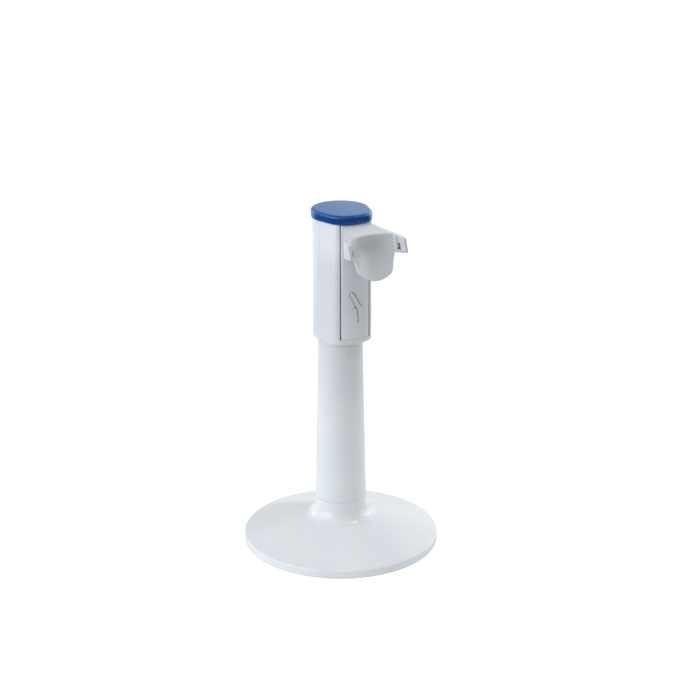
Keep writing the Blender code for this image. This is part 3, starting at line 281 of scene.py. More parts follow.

# %% [markdown]
# ### Rubber, metals and the board
# The feet are soft moulded rubber, matt and nearly black, with a grain that swallows the light. The
# screws are steel with a thin coat of zinc, whose small crystals make the glint uneven. The ballast
# is cast iron under a thin coat, rough from the sand of its mould. The contacts are nickel-plated,
# and their nickel is made darker than bare plating, as painted shade for the shade in their slots; they
# mirror softly. The leads have a smooth sleeve of soft PVC. The circuit board is a glass-fibre laminate
# under green solder mask, and its copper tracks lift the mask a little, so they show through as paler
# lines. The pictogram is pad-printed, and its ink dries matt on the glossier panel.

# %% Rubber and metals
def metal(name, light_code, dark_code, gloss_low, gloss_high, spangle_mm, relief_strength):
    """A metal whose plating or casting breaks up in patches of a given size."""
    made, tree, shader, place = new_finish(name)
    patches = add(tree, "ShaderNodeTexVoronoi", {"Vector": place, "Scale": per_metre(spangle_mm)})
    fine = noise(tree, place, spangle_mm / 3, 3.0)
    colour = colour_mix(tree, patches.outputs["Distance"], light_code, dark_code)
    tree.links.new(colour, shader.inputs["Base Color"])
    tree.links.new(between(tree, fine.outputs["Fac"], gloss_low, gloss_high), shader.inputs["Roughness"])
    tree.links.new(relief(tree, fine.outputs["Fac"], relief_strength, 0.05), shader.inputs["Normal"])
    shader.inputs["Metallic"].default_value = 1.0
    return made


soft_rubber = moulded_plastic("soft_matt_rubber", "#191919", "#202021", 0.75, 0.85, 0.5, 0.40, 1.50)
zinc_steel = metal("zinc_plated_steel", "#C9CBCE", "#B4B6B9", 0.29, 0.36, 1.5, 0.05)
cast_iron = metal("coated_cast_iron", "#5C5D60", "#4A4B4E", 0.55, 0.70, 2.0, 0.45)
# Painted shade: the contacts' nickel is darker than bare plating, for the shade in their slots.
nickel_with_painted_shade = metal("nickel_plate_with_painted_slot_shade", "#8E9095", "#7C7E83", 0.29, 0.38, 1.0, 0.05)
lead_sleeve = moulded_plastic("soft_pvc_sleeve", "#1E1F22", "#26272A", 0.40, 0.50, 0.8, 0.10)
print("made", soft_rubber.name, zinc_steel.name, cast_iron.name, nickel_with_painted_shade.name, lead_sleeve.name)

# %% Circuit board laminate
def board_laminate():
    """Green mask over tracks that are laid out like the joints of a wall, 9 mm apart."""
    made, tree, shader, place = new_finish("solder_mask_on_laminate")
    tracks = add(tree, "ShaderNodeTexBrick", {
        "Vector": place, "Scale": per_metre(9.0), "Mortar Size": 0.03, "Color1": (0, 0, 0, 1),
        "Color2": (0, 0, 0, 1), "Mortar": (1, 1, 1, 1)})
    tree.links.new(colour_mix(tree, tracks.outputs["Fac"], "#0E4A2A", "#1B6A3E"), shader.inputs["Base Color"])
    cloth = noise(tree, place, 0.6, 2.0)
    tree.links.new(between(tree, cloth.outputs["Fac"], 0.20, 0.26), shader.inputs["Roughness"])
    tree.links.new(relief(tree, tracks.outputs["Fac"], 0.3, 0.04), shader.inputs["Normal"])
    shader.inputs["IOR"].default_value = 1.55
    return made


laminate = board_laminate()
printed_ink = moulded_plastic("pad_printed_grey_ink", "#5B6068", "#666B73", 0.45, 0.60, 0.5, 0.10)
print("made", laminate.name, printed_ink.name)

# %% [markdown]
# ## Making meshes
# Turned pieces are swept round the upright axis from a profile. Moulded pieces are skins over a row
# of outlines, cut and joined with exact Booleans, and their edges are then rounded, because no
# moulded edge is sharp and the thin bright line on a rounded edge is what makes plastic look real.
# A body that cuts reaches a few millimetres past what it cuts.

# %% Helpers for meshes
def at(u, v, z):
    """A point u millimetres forward along the arm, v to the side and z up."""
    return Vector((v, -u, z)) * MM


def piece_from(name, shape, finish):
    """Turns a bmesh into a piece with its finish."""
    bmesh.ops.recalc_face_normals(shape, faces=shape.faces)
    mesh = bpy.data.meshes.new(name)
    shape.to_mesh(mesh)
    shape.free()
    made = bpy.data.objects.new(name, mesh)
    bpy.context.scene.collection.objects.link(made)
    if finish is not None:
        mesh.materials.append(finish)
    return made


def skin(name, sections, finish=None):
    """A closed body over a row of closed outlines that have as many points each."""
    shape = bmesh.new()
    rings = [[shape.verts.new(point) for point in section] for section in sections]
    for low, high in zip(rings, rings[1:]):
        for i in range(len(low)):
            j = (i + 1) % len(low)
            shape.faces.new((low[i], low[j], high[j], high[i]))
    shape.faces.new(rings[0])
    shape.faces.new(rings[-1])
    return piece_from(name, shape, finish)


def turned(name, profile, finish=None, steps=192):
    """Sweeps a closed (radius, height) profile in millimetres round the upright axis."""
    shape = bmesh.new()
    rings = []
    for radius, height in profile:
        if radius == 0:
            rings.append([shape.verts.new((0, 0, height * MM))])
            continue
        ring = []
        for step in range(steps):
            angle = 2 * math.pi * step / steps
            x = radius * math.cos(angle) * MM
            y = radius * math.sin(angle) * MM
            ring.append(shape.verts.new((x, y, height * MM)))
        rings.append(ring)
    for first, second in zip(rings, rings[1:] + rings[:1]):
        for i in range(steps):
            j = (i + 1) % steps
            corners = [first[i % len(first)], first[j % len(first)]]
            corners += [second[j % len(second)], second[i % len(second)]]
            corners = list(dict.fromkeys(corners))
            if len(corners) > 2:
                shape.faces.new(corners)
    return piece_from(name, shape, finish)


def block(name, near, far, left, right, low, high, finish=None):
    """A plain block between two limits in each direction."""
    corners = [(near, left), (far, left), (far, right), (near, right)]
    return skin(name, [[at(u, v, z) for u, v in corners] for z in (low, high)], finish)


def prism(name, outline, low, high, finish=None):
    """Stands a plan outline between two heights."""
    return skin(name, [[at(u, v, z) for u, v in outline] for z in (low, high)], finish)


def side_prism(name, outline, half_width, finish=None):
    """Spreads a (u, z) outline to both sides."""
    return skin(name, [[at(u, v, z) for u, z in outline] for v in (-half_width, half_width)], finish)


def bar(name, start, end, radius, finish=None, sides=48):
    """A round bar between two points, in metres; its radius is in millimetres."""
    axis = (end - start).normalized()
    across = axis.orthogonal().normalized()
    other = axis.cross(across)
    sections = []
    for centre in (start, end):
        ring = []
        for side in range(sides):
            angle = 2 * math.pi * side / sides
            ring.append(centre + (across * math.cos(angle) + other * math.sin(angle)) * radius * MM)
        sections.append(ring)
    return skin(name, sections, finish)


def settle(piece):
    """Applies a piece's modifiers to its mesh."""
    mesh = bpy.data.meshes.new_from_object(piece.evaluated_get(bpy.context.evaluated_depsgraph_get()))
    piece.modifiers.clear()
    piece.data = mesh
    return piece


def combine(piece, how, *others):
    """Cuts from or joins to a piece, one body at a time, and removes the bodies used."""
    for other in others:
        step = piece.modifiers.new("step", "BOOLEAN")
        step.operation = how
        step.solver = "EXACT"
        step.object = other
        settle(piece)
        bpy.data.objects.remove(other)
    return piece


def cut(piece, *others):
    """Cuts other bodies out of a piece."""
    return combine(piece, "DIFFERENCE", *others)


def join(piece, *others):
    """Joins other bodies to a piece."""
    return combine(piece, "UNION", *others)


SHARP = math.radians(38)
FINE_STEPS = 288
FEW_STEPS = 96


def smooth(piece):
    """Shades a piece smooth but for its sharp edges."""
    piece.data.shade_smooth()
    piece.data.set_sharp_from_angle(angle=SHARP)
    return piece


def round_edges(piece, width_mm, segments=3):
    """Rounds every sharp edge, with normals that keep the flats flat."""
    edge = piece.modifiers.new("rounded edges", "BEVEL")
    edge.width = width_mm * MM
    edge.segments = segments
    edge.limit_method = "ANGLE"
    edge.angle_limit = SHARP
    edge.harden_normals = True
    settle(piece)
    piece.data.shade_smooth()
    return piece


def arc(centre, radius, start, end, count):
    """Points along an arc between two angles in radians."""
    points = []
    for step in range(count + 1):
        angle = start + (end - start) * step / count
        points.append((centre[0] + radius * math.cos(angle), centre[1] + radius * math.sin(angle)))
    return points


def bend(before, corner, after, count=8):
    """Points of a smooth bend drawn towards a corner."""
    points = []
    for step in range(count + 1):
        t = step / count
        points.append(tuple(
            (1 - t) ** 2 * a + 2 * t * (1 - t) * b + t ** 2 * c for a, b, c in zip(before, corner, after)))
    return points


def edge_bend(corner, before, after, count=4):
    """A small bend at a corner, between two steps away from it."""
    start = (corner[0] + before[0], corner[1] + before[1])
    end = (corner[0] + after[0], corner[1] + after[1])
    return bend(start, corner, end, count)


def along(start, end, distance):
    """The point at a distance from start towards end."""
    length = math.dist(start, end)
    return tuple(a + (b - a) * distance / length for a, b in zip(start, end))


def mirrored(half):
    """Adds the other side of an outline whose points run along +v."""
    return half + [(u, -v) for u, v in reversed(half) if v > 1e-9]


def rounded(profile, radius, steps=4):
    """Rounds every corner of a closed profile."""
    points = []
    for before, corner, after in zip(profile[-1:] + profile[:-1], profile, profile[1:] + profile[:1]):
        reach = min(radius, math.dist(before, corner) / 2, math.dist(corner, after) / 2)
        points += bend(along(corner, before, reach), corner, along(corner, after, reach), steps)
    return points


print("helpers ready")

# %% [markdown]
# ## Base
# The base is one shell: a low rim, a shallow cone and a neck that rises out of it in a fillet. It is
# turned from its section with a fine arc in the fillet, where three soft highlights sit.

# %% Base shell
GAP = 0.3
BASE_RADIUS = 80.0
RIM_LOW = 1.0
RIM_TOP = 8.3
RIM_ROUND = 1.2
CONE_ANGLE = math.radians(15.5)
CONE = math.tan(CONE_ANGLE)
BASE_WALL = 2.6
NECK_RADIUS = 21.2
NECK_INNER = 18.2
NECK_TOP = 39.6
SEAM_ROUND = 0.2
FOOT_EDGE = 0.6
FILLET = 12.0


def cone(radius):
    """Height of the cone at a radius."""
    return RIM_TOP + (BASE_RADIUS - RIM_ROUND - radius) * CONE


def base_profile():
    """The base's section: neck, fillet, cone and rim outside, then the wall's inside."""
    middle = (NECK_RADIUS + FILLET, cone(NECK_RADIUS + FILLET) + FILLET / math.cos(CONE_ANGLE))
    rim_middle = (BASE_RADIUS - RIM_ROUND, RIM_TOP - RIM_ROUND)
    outside = edge_bend((NECK_RADIUS, NECK_TOP), (-SEAM_ROUND, 0), (0, -SEAM_ROUND))
    outside += arc(middle, FILLET, math.pi, 1.5 * math.pi - CONE_ANGLE, 32)
    outside += arc(rim_middle, RIM_ROUND, math.pi / 2 - CONE_ANGLE, 0, 10)
    outside += edge_bend((BASE_RADIUS, RIM_LOW), (0, FOOT_EDGE), (-FOOT_EDGE, 0))
    under = BASE_WALL / math.cos(CONE_ANGLE)
    inner = BASE_RADIUS - BASE_WALL
    shoulder = NECK_INNER + BASE_WALL
    inside = [(inner, RIM_LOW), (inner, cone(inner) - under), (shoulder, cone(shoulder) - under)]
    inside += [(NECK_INNER, cone(NECK_INNER) - under + BASE_WALL), (NECK_INNER, NECK_TOP)]
    return outside + inside


base_shell = smooth(turned("base_shell_fine", base_profile(), white_abs, FINE_STEPS))
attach(base_shell, "stand")
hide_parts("base_shell")
print("base shell faces:", len(base_shell.data.polygons))

# %% [markdown]
# ## Column and ring
# The column is a tapered tube. Where it meets the neck and the ring there is a fine seam, drawn by
# rounding the ends a little, as a moulded tube has them.

# %% Column and ring
COLUMN_LOW = 39.75
COLUMN_HIGH = 173.8
COLUMN_FOOT = 21.1
COLUMN_TOP = 18.15
COLUMN_BORE = 13.95
SPIGOT = 17.9
SPIGOT_LOW = 32.8
RING_LOW = 174.1
RING_HIGH = 177.7
RING_RADIUS = 18.5
RING_ROUND = 0.35
TOP_ROUND = 0.4

column_profile = edge_bend((COLUMN_TOP, COLUMN_HIGH), (-TOP_ROUND, 0), (0, -TOP_ROUND))
column_profile += edge_bend((COLUMN_FOOT, COLUMN_LOW), (0, SEAM_ROUND), (-SEAM_ROUND, 0))
column_profile += [(SPIGOT, COLUMN_LOW), (SPIGOT, SPIGOT_LOW)]
column_profile += [(COLUMN_BORE, SPIGOT_LOW), (COLUMN_BORE, COLUMN_HIGH)]
column = smooth(turned("column_fine", column_profile, white_abs))
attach(column, "stand")
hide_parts("column_tube")

ring_profile = rounded([(COLUMN_BORE, RING_HIGH), (RING_RADIUS, RING_HIGH), (RING_RADIUS, RING_LOW),
                        (COLUMN_BORE, RING_LOW)], RING_ROUND)
ring = smooth(turned("column_ring_fine", ring_profile, white_abs))
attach(ring, "stand")
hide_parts("column_ring")
print("column is %.1f mm across at its top" % (2 * COLUMN_TOP))

# %% [markdown]
# ## Head
# The head is round at the back, and its flanks run to two soft corners in front. Its plan is one
# closed outline that can be grown or shrunk, and the same outline gives the rounded lower edge here
# and the cap further on. The window for the front panel and the room inside are cut from it.

# %% Head outline
HEAD_LOW = 178.0
HEAD_HIGH = 275.6
REAR = 22.0
FRONT = 27.5
CORNER = math.radians(37)
CORNER_SOFT = 2.6
WALL = 2.5


def head_outline(offset=0.0, soft=CORNER_SOFT):
    """The head's plan, grown by an offset, with its front corners cut back by a soft length."""
    front = FRONT + offset
    rear = REAR + offset
    corner = (front * math.cos(CORNER), front * math.sin(CORNER))
    tangent = CORNER + math.acos(rear / front)
    flank_end = (rear * math.cos(tangent), rear * math.sin(tangent))
    half = arc((0, 0), front, 0, CORNER - soft / front, 40)
    half += bend(half.pop(), corner, along(corner, flank_end, soft), 10)
    half += arc((0, 0), rear, tangent, math.pi, 72)[:-1]
    return mirrored(half + [(-rear, 0.0)])


print("head outline points:", len(head_outline()))

# %% Head housing
PANEL_HALF = 12.1
GROOVE = 1.2
POST_FRONT = FRONT * math.cos(CORNER) + CORNER_SOFT - 3.0
CAVITY_FRONT = POST_FRONT - 4.0
PANEL_LOW = 182.6
PANEL_HIGH = 275.3
FLOOR_TOP = 181.4
LOW_ROUND = 1.6
HEAD_ROUND = 0.5
GUIDE_DEPTH = 2.5
HEAD_SPIGOT = 13.65
HEAD_SPIGOT_LOW = 172.0
BOLT_HOLE = 3.3
BOLT_WAY_LOW = 165.0
BOLT_WAY_HIGH = 190.0
BOSS_HEIGHTS = (206.0, 232.0)
BOARD_BOSS = 3.2
BOARD_BOSS_END = -6.7
BOARD_SCREW_END = -13.7
BOARD_SCREW_HOLE = 1.6
INLET_HEIGHT = 195.5
INLET_HOLE = 4.7


def cavity_outline():
    """The room inside the housing, with straight flanks in front."""
    rear = REAR - WALL
    flank = CORNER + math.acos(rear / (FRONT - WALL))
    half = [(CAVITY_FRONT, PANEL_HALF)] + arc((0, 0), rear, flank, math.pi, 48)
    return mirrored(half[:-1] + [(-rear, 0.0)])


def head_sections():
    """Outlines from the rounded lower edge up to the top."""
    levels = arc((-LOW_ROUND, HEAD_LOW + LOW_ROUND), LOW_ROUND, -math.pi / 2, 0, 8) + [(0.0, HEAD_HIGH)]
    return [[at(u, v, height) for u, v in head_outline(offset)] for offset, height in levels]


def head_spigot():
    """The plug below the housing's floor that centres it in the ring and the column."""
    top = (HEAD_LOW + FLOOR_TOP) / 2
    profile = [(0, HEAD_SPIGOT_LOW), (HEAD_SPIGOT, HEAD_SPIGOT_LOW), (HEAD_SPIGOT, top), (0, top)]
    return turned("spigot", profile, None, FEW_STEPS)


def make_head():
    """The housing with its room, window, spigot, board bosses and inlet hole."""
    head = skin("head_housing_fine", head_sections(), white_abs)
    above = HEAD_HIGH + 5
    ahead = 2 * FRONT + 5
    guide = PANEL_HALF + GAP / 2
    window = PANEL_HALF + GROOVE
    low = PANEL_LOW - GAP
    cut(head, prism("cavity", cavity_outline(), FLOOR_TOP, above),
        block("guide", CAVITY_FRONT - GUIDE_DEPTH, ahead, -guide, guide, low, above),
        block("window", POST_FRONT, ahead, -window, window, low, above + 2))
    join(head, head_spigot())
    cut(head, bar("bolt_hole", at(0, 0, BOLT_WAY_LOW), at(0, 0, BOLT_WAY_HIGH), BOLT_HOLE))
    boss_start = WALL / 2 - REAR
    for height in BOSS_HEIGHTS:
        join(head, bar("boss", at(0, boss_start, height), at(0, BOARD_BOSS_END, height), BOARD_BOSS))
        cut(head, bar("boss_hole", at(0, BOARD_SCREW_END, height), at(0, 0, height), BOARD_SCREW_HOLE))
    cut(head, bar("inlet", at(-2 * REAR, 0, INLET_HEIGHT), at(2 * WALL - REAR, 0, INLET_HEIGHT), INLET_HOLE))
    return round_edges(head, HEAD_ROUND, 3)


head = make_head()
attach(head, "stand")
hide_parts("head_housing")
print("head faces:", len(head.data.polygons))

# %% [markdown]
# ## Cap
# The cap swells out a little past the head, then turns over in a large round to a flat top. It is a
# skin over the head's outline, grown and shrunk through many thin levels, and hollow underneath.

# %% Cap
CAP_LOW = 275.9
CAP_HIGH = 283.0
CAP_OVER = 1.2
CAP_ROUND = 2.4
CAP_LOW_ROUND = 1.0
CAP_CORNER_SOFT = 7.0
CAP_WALL = 3.0
CAP_TOP_WALL = 2.0


def cap_sections():
    """Outlines through the small round below and the large round above."""
    levels = arc((CAP_OVER - CAP_LOW_ROUND, CAP_LOW + CAP_LOW_ROUND), CAP_LOW_ROUND, -math.pi / 2, 0, 8)
    levels += arc((CAP_OVER - CAP_ROUND, CAP_HIGH - CAP_ROUND), CAP_ROUND, 0, math.pi / 2, 16)
    return [[at(u, v, height) for u, v in head_outline(offset, CAP_CORNER_SOFT)] for offset, height in levels]


cap = skin("head_cap_fine", cap_sections(), blue_abs)
cut(cap, prism("hollow", head_outline(CAP_OVER - CAP_WALL), CAP_LOW - 2, CAP_HIGH - CAP_TOP_WALL))
smooth(cap)
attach(cap, "stand")
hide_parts("head_cap")
print("cap faces:", len(cap.data.polygons))

# %% [markdown]
# ## Front panel
# The panel is a curved plate with rounded upright edges that catch a thin line of light beside each
# groove. Two tongues behind its edges guide it when the charging shell is pulled off.

# %% Front panel
PANEL_THICK = 2.4
PANEL_EDGE = 0.7
PANEL_INNER = FRONT - PANEL_THICK
PANEL_ROUND = 0.45
TONGUE_LONG = 4.6
TONGUE_THICK = 2.0
ARM_SCREW_SIDE = 5.6
ARM_SCREW_HEIGHT = 265.2
ARM_SCREW_HOLE = 1.6
ARM_SCREW_HEAD = 2.6
ARM_SCREW_SEAT = math.sqrt(PANEL_INNER ** 2 - ARM_SCREW_SIDE ** 2)
LEAD_HOLE = 0.9
LEAD_HEIGHT = 255.95
LEAD_SIDES = (-2.5, 1.5)
LEAD_NEAR = 20.0
LEAD_FAR = 32.5
SCREW_NEAR = 18.0
SCREW_FAR = 40.0
SIDES = ((-1, "left"), (1, "right"))


def screw_way(side, near, far, radius):
    """A round bar along one of the two screws that hold the arm to the panel."""
    v = side * ARM_SCREW_SIDE
    return bar("screw_way", at(near, v, ARM_SCREW_HEIGHT), at(far, v, ARM_SCREW_HEIGHT), radius)


def lead_ways():
    """The straight holes through which the two leads leave the head."""
    return [bar("lead_way", at(LEAD_NEAR, v, LEAD_HEIGHT), at(LEAD_FAR, v, LEAD_HEIGHT), LEAD_HOLE)
            for v in LEAD_SIDES]


def panel_outline():
    """The panel's plan: its curved front, rounded edges, two tongues and its hollow back."""
    reach = math.asin(PANEL_HALF / FRONT)
    edge = (FRONT * math.cos(reach), PANEL_HALF)
    half = arc((0, 0), FRONT, 0, reach - PANEL_EDGE / FRONT, 32)
    half += bend(half.pop(), edge, (edge[0] - PANEL_EDGE, PANEL_HALF), 6)
    back = PANEL_INNER * math.cos(math.asin(PANEL_HALF / PANEL_INNER))
    outer = PANEL_HALF - GAP
    inner = outer - TONGUE_THICK
    half += [(back, PANEL_HALF), (back, outer), (back - TONGUE_LONG, outer), (back - TONGUE_LONG, inner)]
    half += arc((0, 0), PANEL_INNER, math.asin(inner / PANEL_INNER), 0, 24)
    return half + [(u, -v) for u, v in reversed(half[1:-1])]


def make_panel():
    """The panel with the seats and holes of its screws and the holes for the leads."""
    panel = prism("front_panel_fine", panel_outline(), PANEL_LOW, PANEL_HIGH, white_abs)
    for side, _ in SIDES:
        cut(panel, screw_way(side, SCREW_NEAR, ARM_SCREW_SEAT - GAP, ARM_SCREW_HEAD),
            screw_way(side, SCREW_NEAR, SCREW_FAR, ARM_SCREW_HOLE))
    cut(panel, *lead_ways())
    return round_edges(panel, PANEL_ROUND, 3)


panel = make_panel()
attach(panel, "charging_shell")
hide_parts("front_panel")
print("panel faces:", len(panel.data.polygons))

# %% [markdown]
# ### Pictogram
# A small line drawing on the panel says what hangs here: a pipette with its finger rest and its tip
# pointing down. Each stroke is a thin raised ribbon of ink that follows the panel's curve.

# %% Pictogram
INK_HEIGHT = 0.05
INK_DEPTH = 0.1
# Each stroke has a width and the points that it runs through, side and height on the panel.
STROKES = (
    (0.80, ((-3.8, 221.4), (-2.4, 220.0), (-1.0, 218.0))),
    (0.55, ((-1.0, 218.0), (1.0, 214.2), (2.7, 211.2), (4.1, 209.7), (5.6, 208.9))),
    (0.45, ((-6.2, 218.9), (-3.9, 214.3), (-1.5, 209.6))),
    (0.35, ((-6.2, 218.9), (-6.0, 220.4), (-5.0, 221.6), (-3.8, 221.4))),
    (0.50, ((-1.5, 209.6), (-3.5, 207.4))),
    (0.65, ((-1.5, 209.6), (0.0, 206.8), (0.6, 203.5), (1.3, 195.6))),
)


def on_panel(v, z, lift):
    """A point on the panel's curve, lifted from it in millimetres."""
    angle = math.asin(v / FRONT)
    return at((FRONT + lift) * math.cos(angle), (FRONT + lift) * math.sin(angle), z)


def stroke_sections(width, points):
    """Small upright sections along a line, close enough to follow the curve."""
    line = []
    for start, end in zip(points, points[1:]):
        count = max(2, round(math.dist(start, end) / 0.4))
        line += [(start[0] + (end[0] - start[0]) * i / count, start[1] + (end[1] - start[1]) * i / count)
                 for i in range(count)]
    line.append(points[-1])
    sections = []
    for i, (v, z) in enumerate(line):
        before = line[max(i - 1, 0)]
        after = line[min(i + 1, len(line) - 1)]
        length = math.dist(before, after)
        side = ((after[1] - before[1]) / length * width / 2, -(after[0] - before[0]) / length * width / 2)
        left = (v - side[0], z - side[1])
        right = (v + side[0], z + side[1])
        sections.append([on_panel(*left, -INK_DEPTH), on_panel(*right, -INK_DEPTH),
                         on_panel(*right, INK_HEIGHT), on_panel(*left, INK_HEIGHT)])
    return sections


for number, (width, points) in enumerate(STROKES, 1):
    stroke = skin("pictogram_stroke_%d" % number, stroke_sections(width, points), printed_ink)
    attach(stroke, "charging_shell")
print("pictogram strokes:", len(STROKES))

# %% [markdown]
# ## Cradle arm
# The arm is the hardest moulding of the stand. In plan it flares from the panel to the prongs; its
# roof falls away to both flanks from two creases; its front is a dished wall that runs down into a
# leaning bib; and two prongs stand out at an angle with a slot in each. It is built from those plain
# bodies with Booleans. A fine voxel remesh and some smoothing then melt every edge into the soft
# rounds that such a moulding has.

# %% Arm sizes and outlines
ARM_SEAT = 27.8
ARM_INSIDE = 19.0
PLAN_START = 21.6
ROOT_HALF = 11.05
ROOT_REACH = 26.0
ROOT_DEPTH = 25.5
FLAT_REACH = 33.0
ARM_TOP = 275.3
ARM_WALL = 2.2
RIM = 272.0
RIM_REACH = 47.6
RIM_EDGE = 51.0
CRADLE_HALF = 18.0
FLARE_REACH = 51.5
FLARE_HALF = 24.5
PRONG_LOW = 257.5
PRONG_ANGLE = math.radians(30)
TIP_REACH = 58.9
TIP_SLANT = math.tan(math.radians(18))
TIP_WIDTH = 2.5
TIP_EDGE = 1.2
TOP_FALL = math.tan(math.radians(15))
KNEE = 264.3
KNEE_RADIUS = 16.0
LEAN = math.radians(31)
BIB_DISH = 4.9
BIB_LOW = 238.8
BIB_THICK = 2.2
BIB_FOOT = 7.5
BIB_END = 20.0
BIB_LOW_HALF = 13.6
CRADLE_FAR = 118.0
FLARE_SOFT = 3.0
DISH_STEPS = 24


def underside(u):
    """Height of the arm's sloping underside."""
    start = ARM_TOP - ROOT_DEPTH
    return start + (u - ARM_SEAT) * (PRONG_LOW - start) / (RIM_REACH - ARM_SEAT)


def arm_plan():
    """The flared plan, from the panel to the tips of the prongs."""
    corner = (FLARE_REACH, FLARE_HALF)
    root = (ROOT_REACH, ROOT_HALF)
    tip = (TIP_REACH, CRADLE_HALF + (TIP_REACH - RIM_EDGE) * math.tan(PRONG_ANGLE) + TIP_WIDTH)
    flare_bend = bend(along(corner, root, FLARE_SOFT), corner, along(corner, tip, FLARE_SOFT))
    return mirrored([(PLAN_START, ROOT_HALF), root] + flare_bend + [tip, (TIP_REACH + 10, tip[1])])


def arm_side():
    """The side view, with slanted tips and a rising underside."""
    tip_low = TIP_REACH + (RIM - PRONG_LOW) * TIP_SLANT
    return [(ARM_INSIDE, ARM_TOP), (FLAT_REACH, ARM_TOP), (RIM_EDGE, RIM), (TIP_REACH, RIM),
            (tip_low, PRONG_LOW + TIP_EDGE), (FLARE_REACH, PRONG_LOW), (RIM_REACH, PRONG_LOW),
            (ARM_INSIDE, underside(ARM_INSIDE))]


def wall_reach(height):
    """How far forward the middle of the cradle's wall and bib stands, at a height."""
    if height >= KNEE:
        return RIM_REACH
    turn = min(math.asin(min((KNEE - height) / KNEE_RADIUS, 1.0)), LEAN)
    below = max(0.0, KNEE - KNEE_RADIUS * math.sin(LEAN) - height)
    return RIM_REACH + KNEE_RADIUS * (1 - math.cos(turn)) + below * math.tan(LEAN)


def root_reach(height):
    """How far forward the prongs begin, at a height."""
    return RIM_EDGE + (RIM - height) * TIP_SLANT


def dished_reach(height, v):
    """How far forward the wall stands away from the middle, where the dish brings it forward."""
    if height >= PRONG_LOW:
        dish = root_reach(height) - wall_reach(height)
    else:
        at_prongs = root_reach(PRONG_LOW) - wall_reach(PRONG_LOW)
        dish = at_prongs + (BIB_DISH - at_prongs) * (PRONG_LOW - height) / (PRONG_LOW - BIB_LOW)
    return wall_reach(height) + dish * (v / CRADLE_HALF) ** 2


def cradle_section(height):
    """The open room of the cradle at a height, from its dished wall out between the prongs."""
    root = root_reach(height)
    sides = [CRADLE_HALF * step / DISH_STEPS for step in range(-DISH_STEPS, DISH_STEPS + 1)]
    points = [(dished_reach(height, v), v) for v in sides]
    far_half = CRADLE_HALF + (CRADLE_FAR - root) * math.tan(PRONG_ANGLE)
    points += [(CRADLE_FAR, far_half), (CRADLE_FAR, -far_half)]
    return [at(u, v, height) for u, v in points]


print("flare is %.1f mm wide" % (2 * FLARE_HALF))

# %% [markdown]
# ### Roof, bib and slots
# The roof falls from two creases to the flanks, so a tilted block is cut away on each side. The bib
# is a dished slab that leans forward, hollow behind its face between two flanges that grow towards
# its foot. The slots lean with the tips of the prongs.

# %% Roof
CREASE_BACK = 4.0
CREASE_OUT = 1.2
ROOF_CUT_HALF = 0.05
ROOF_CUT_HIGH = 0.03


def roof(side):
    """A tilted block that cuts the roof down from its crease to one flank."""
    rear = at(FLAT_REACH - CREASE_BACK, side * (ROOT_HALF + CREASE_OUT), ARM_TOP)
    front = at(RIM_EDGE, side * CRADLE_HALF, RIM)
    edge = at(FLARE_REACH, side * FLARE_HALF, RIM - (FLARE_HALF - CRADLE_HALF) * TOP_FALL)
    ahead = (front - rear).normalized()
    up = ahead.cross(edge - rear).normalized()
    if up.z < 0:
        up.negate()
    across = up.cross(ahead)
    middle = (rear + front) / 2
    corners = [middle + ahead * a * ROOF_CUT_HALF + across * b * ROOF_CUT_HALF
               for a, b in ((-1, -1), (1, -1), (1, 1), (-1, 1))]
    return skin("roof_cut", [corners, [corner + up * ROOF_CUT_HIGH for corner in corners]])


print("roof falls %.1f mm from the rim to each flank" % ((FLARE_HALF - CRADLE_HALF) * TOP_FALL))

# %% Bib
BIB_SOFT = 3.0
BIB_RISE = 4.4
BIB_OVERLAP = 0.05
BIB_GRID = 48
TRIM_NEAR = 30.0
TRIM_FAR = 110.0


def bib_outline(wall):
    """Front view of the bib, shrunk by a wall."""
    centre = (0.0, BIB_LOW + BIB_END)
    radius = BIB_END - wall
    reach = math.asin(BIB_LOW_HALF / BIB_END)
    shoulder = (CRADLE_HALF - GAP - wall, PRONG_LOW)
    corner = (radius * math.sin(reach), centre[1] - radius * math.cos(reach))
    half = arc(centre, radius, -math.pi / 2, -math.pi / 2 + reach - BIB_SOFT / BIB_END, 24)
    half += bend(half.pop(), corner, along(corner, shoulder, BIB_SOFT), 10)
    if wall == 0:
        half += [shoulder, (shoulder[0], PRONG_LOW + BIB_RISE)]
    else:
        half += [along(shoulder, corner, wall)]
    return half + [(-v, z) for v, z in reversed(half) if v > 1e-9]


def bib_depth(height):
    """Depth of the bib's side flanges, which grow towards its foot."""
    share = (PRONG_LOW - height) / (PRONG_LOW - BIB_LOW)
    return BIB_THICK + (BIB_FOOT - BIB_THICK) * min(max(share, 0.0), 1.0)


def bib_slab(name, front, back, wall):
    """A dished slab between two depths behind the bib's face, trimmed to its outline."""
    shape = bmesh.new()
    half = CRADLE_HALF + BIB_RISE
    top = PRONG_LOW + 2 * BIB_RISE
    low = BIB_LOW - BIB_THICK
    layers = []
    for depth in (front, back):
        grid = []
        for row in range(BIB_GRID + 1):
            z = top + (low - top) * row / BIB_GRID
            sides = [-half + 2 * half * column / BIB_GRID for column in range(BIB_GRID + 1)]
            grid.append([shape.verts.new(at(dished_reach(z, v) - depth(z), v, z)) for v in sides])
        for upper, lower in zip(grid, grid[1:]):
            for i in range(BIB_GRID):
                shape.faces.new((upper[i], lower[i], lower[i + 1], upper[i + 1]))
        layers.append(grid)
    face, rear = layers
    rims = [(face[0], rear[0]), (face[-1], rear[-1])]
    rims += [([line[end] for line in face], [line[end] for line in rear]) for end in (0, -1)]
    for first, second in rims:
        for i in range(len(first) - 1):
            shape.faces.new((first[i], first[i + 1], second[i + 1], second[i]))
    slab = piece_from(name, shape, None)
    trim = skin("bib_trim", [[at(u, v, z) for v, z in bib_outline(wall)] for u in (TRIM_NEAR, TRIM_FAR)])
    return combine(slab, "INTERSECT", trim)


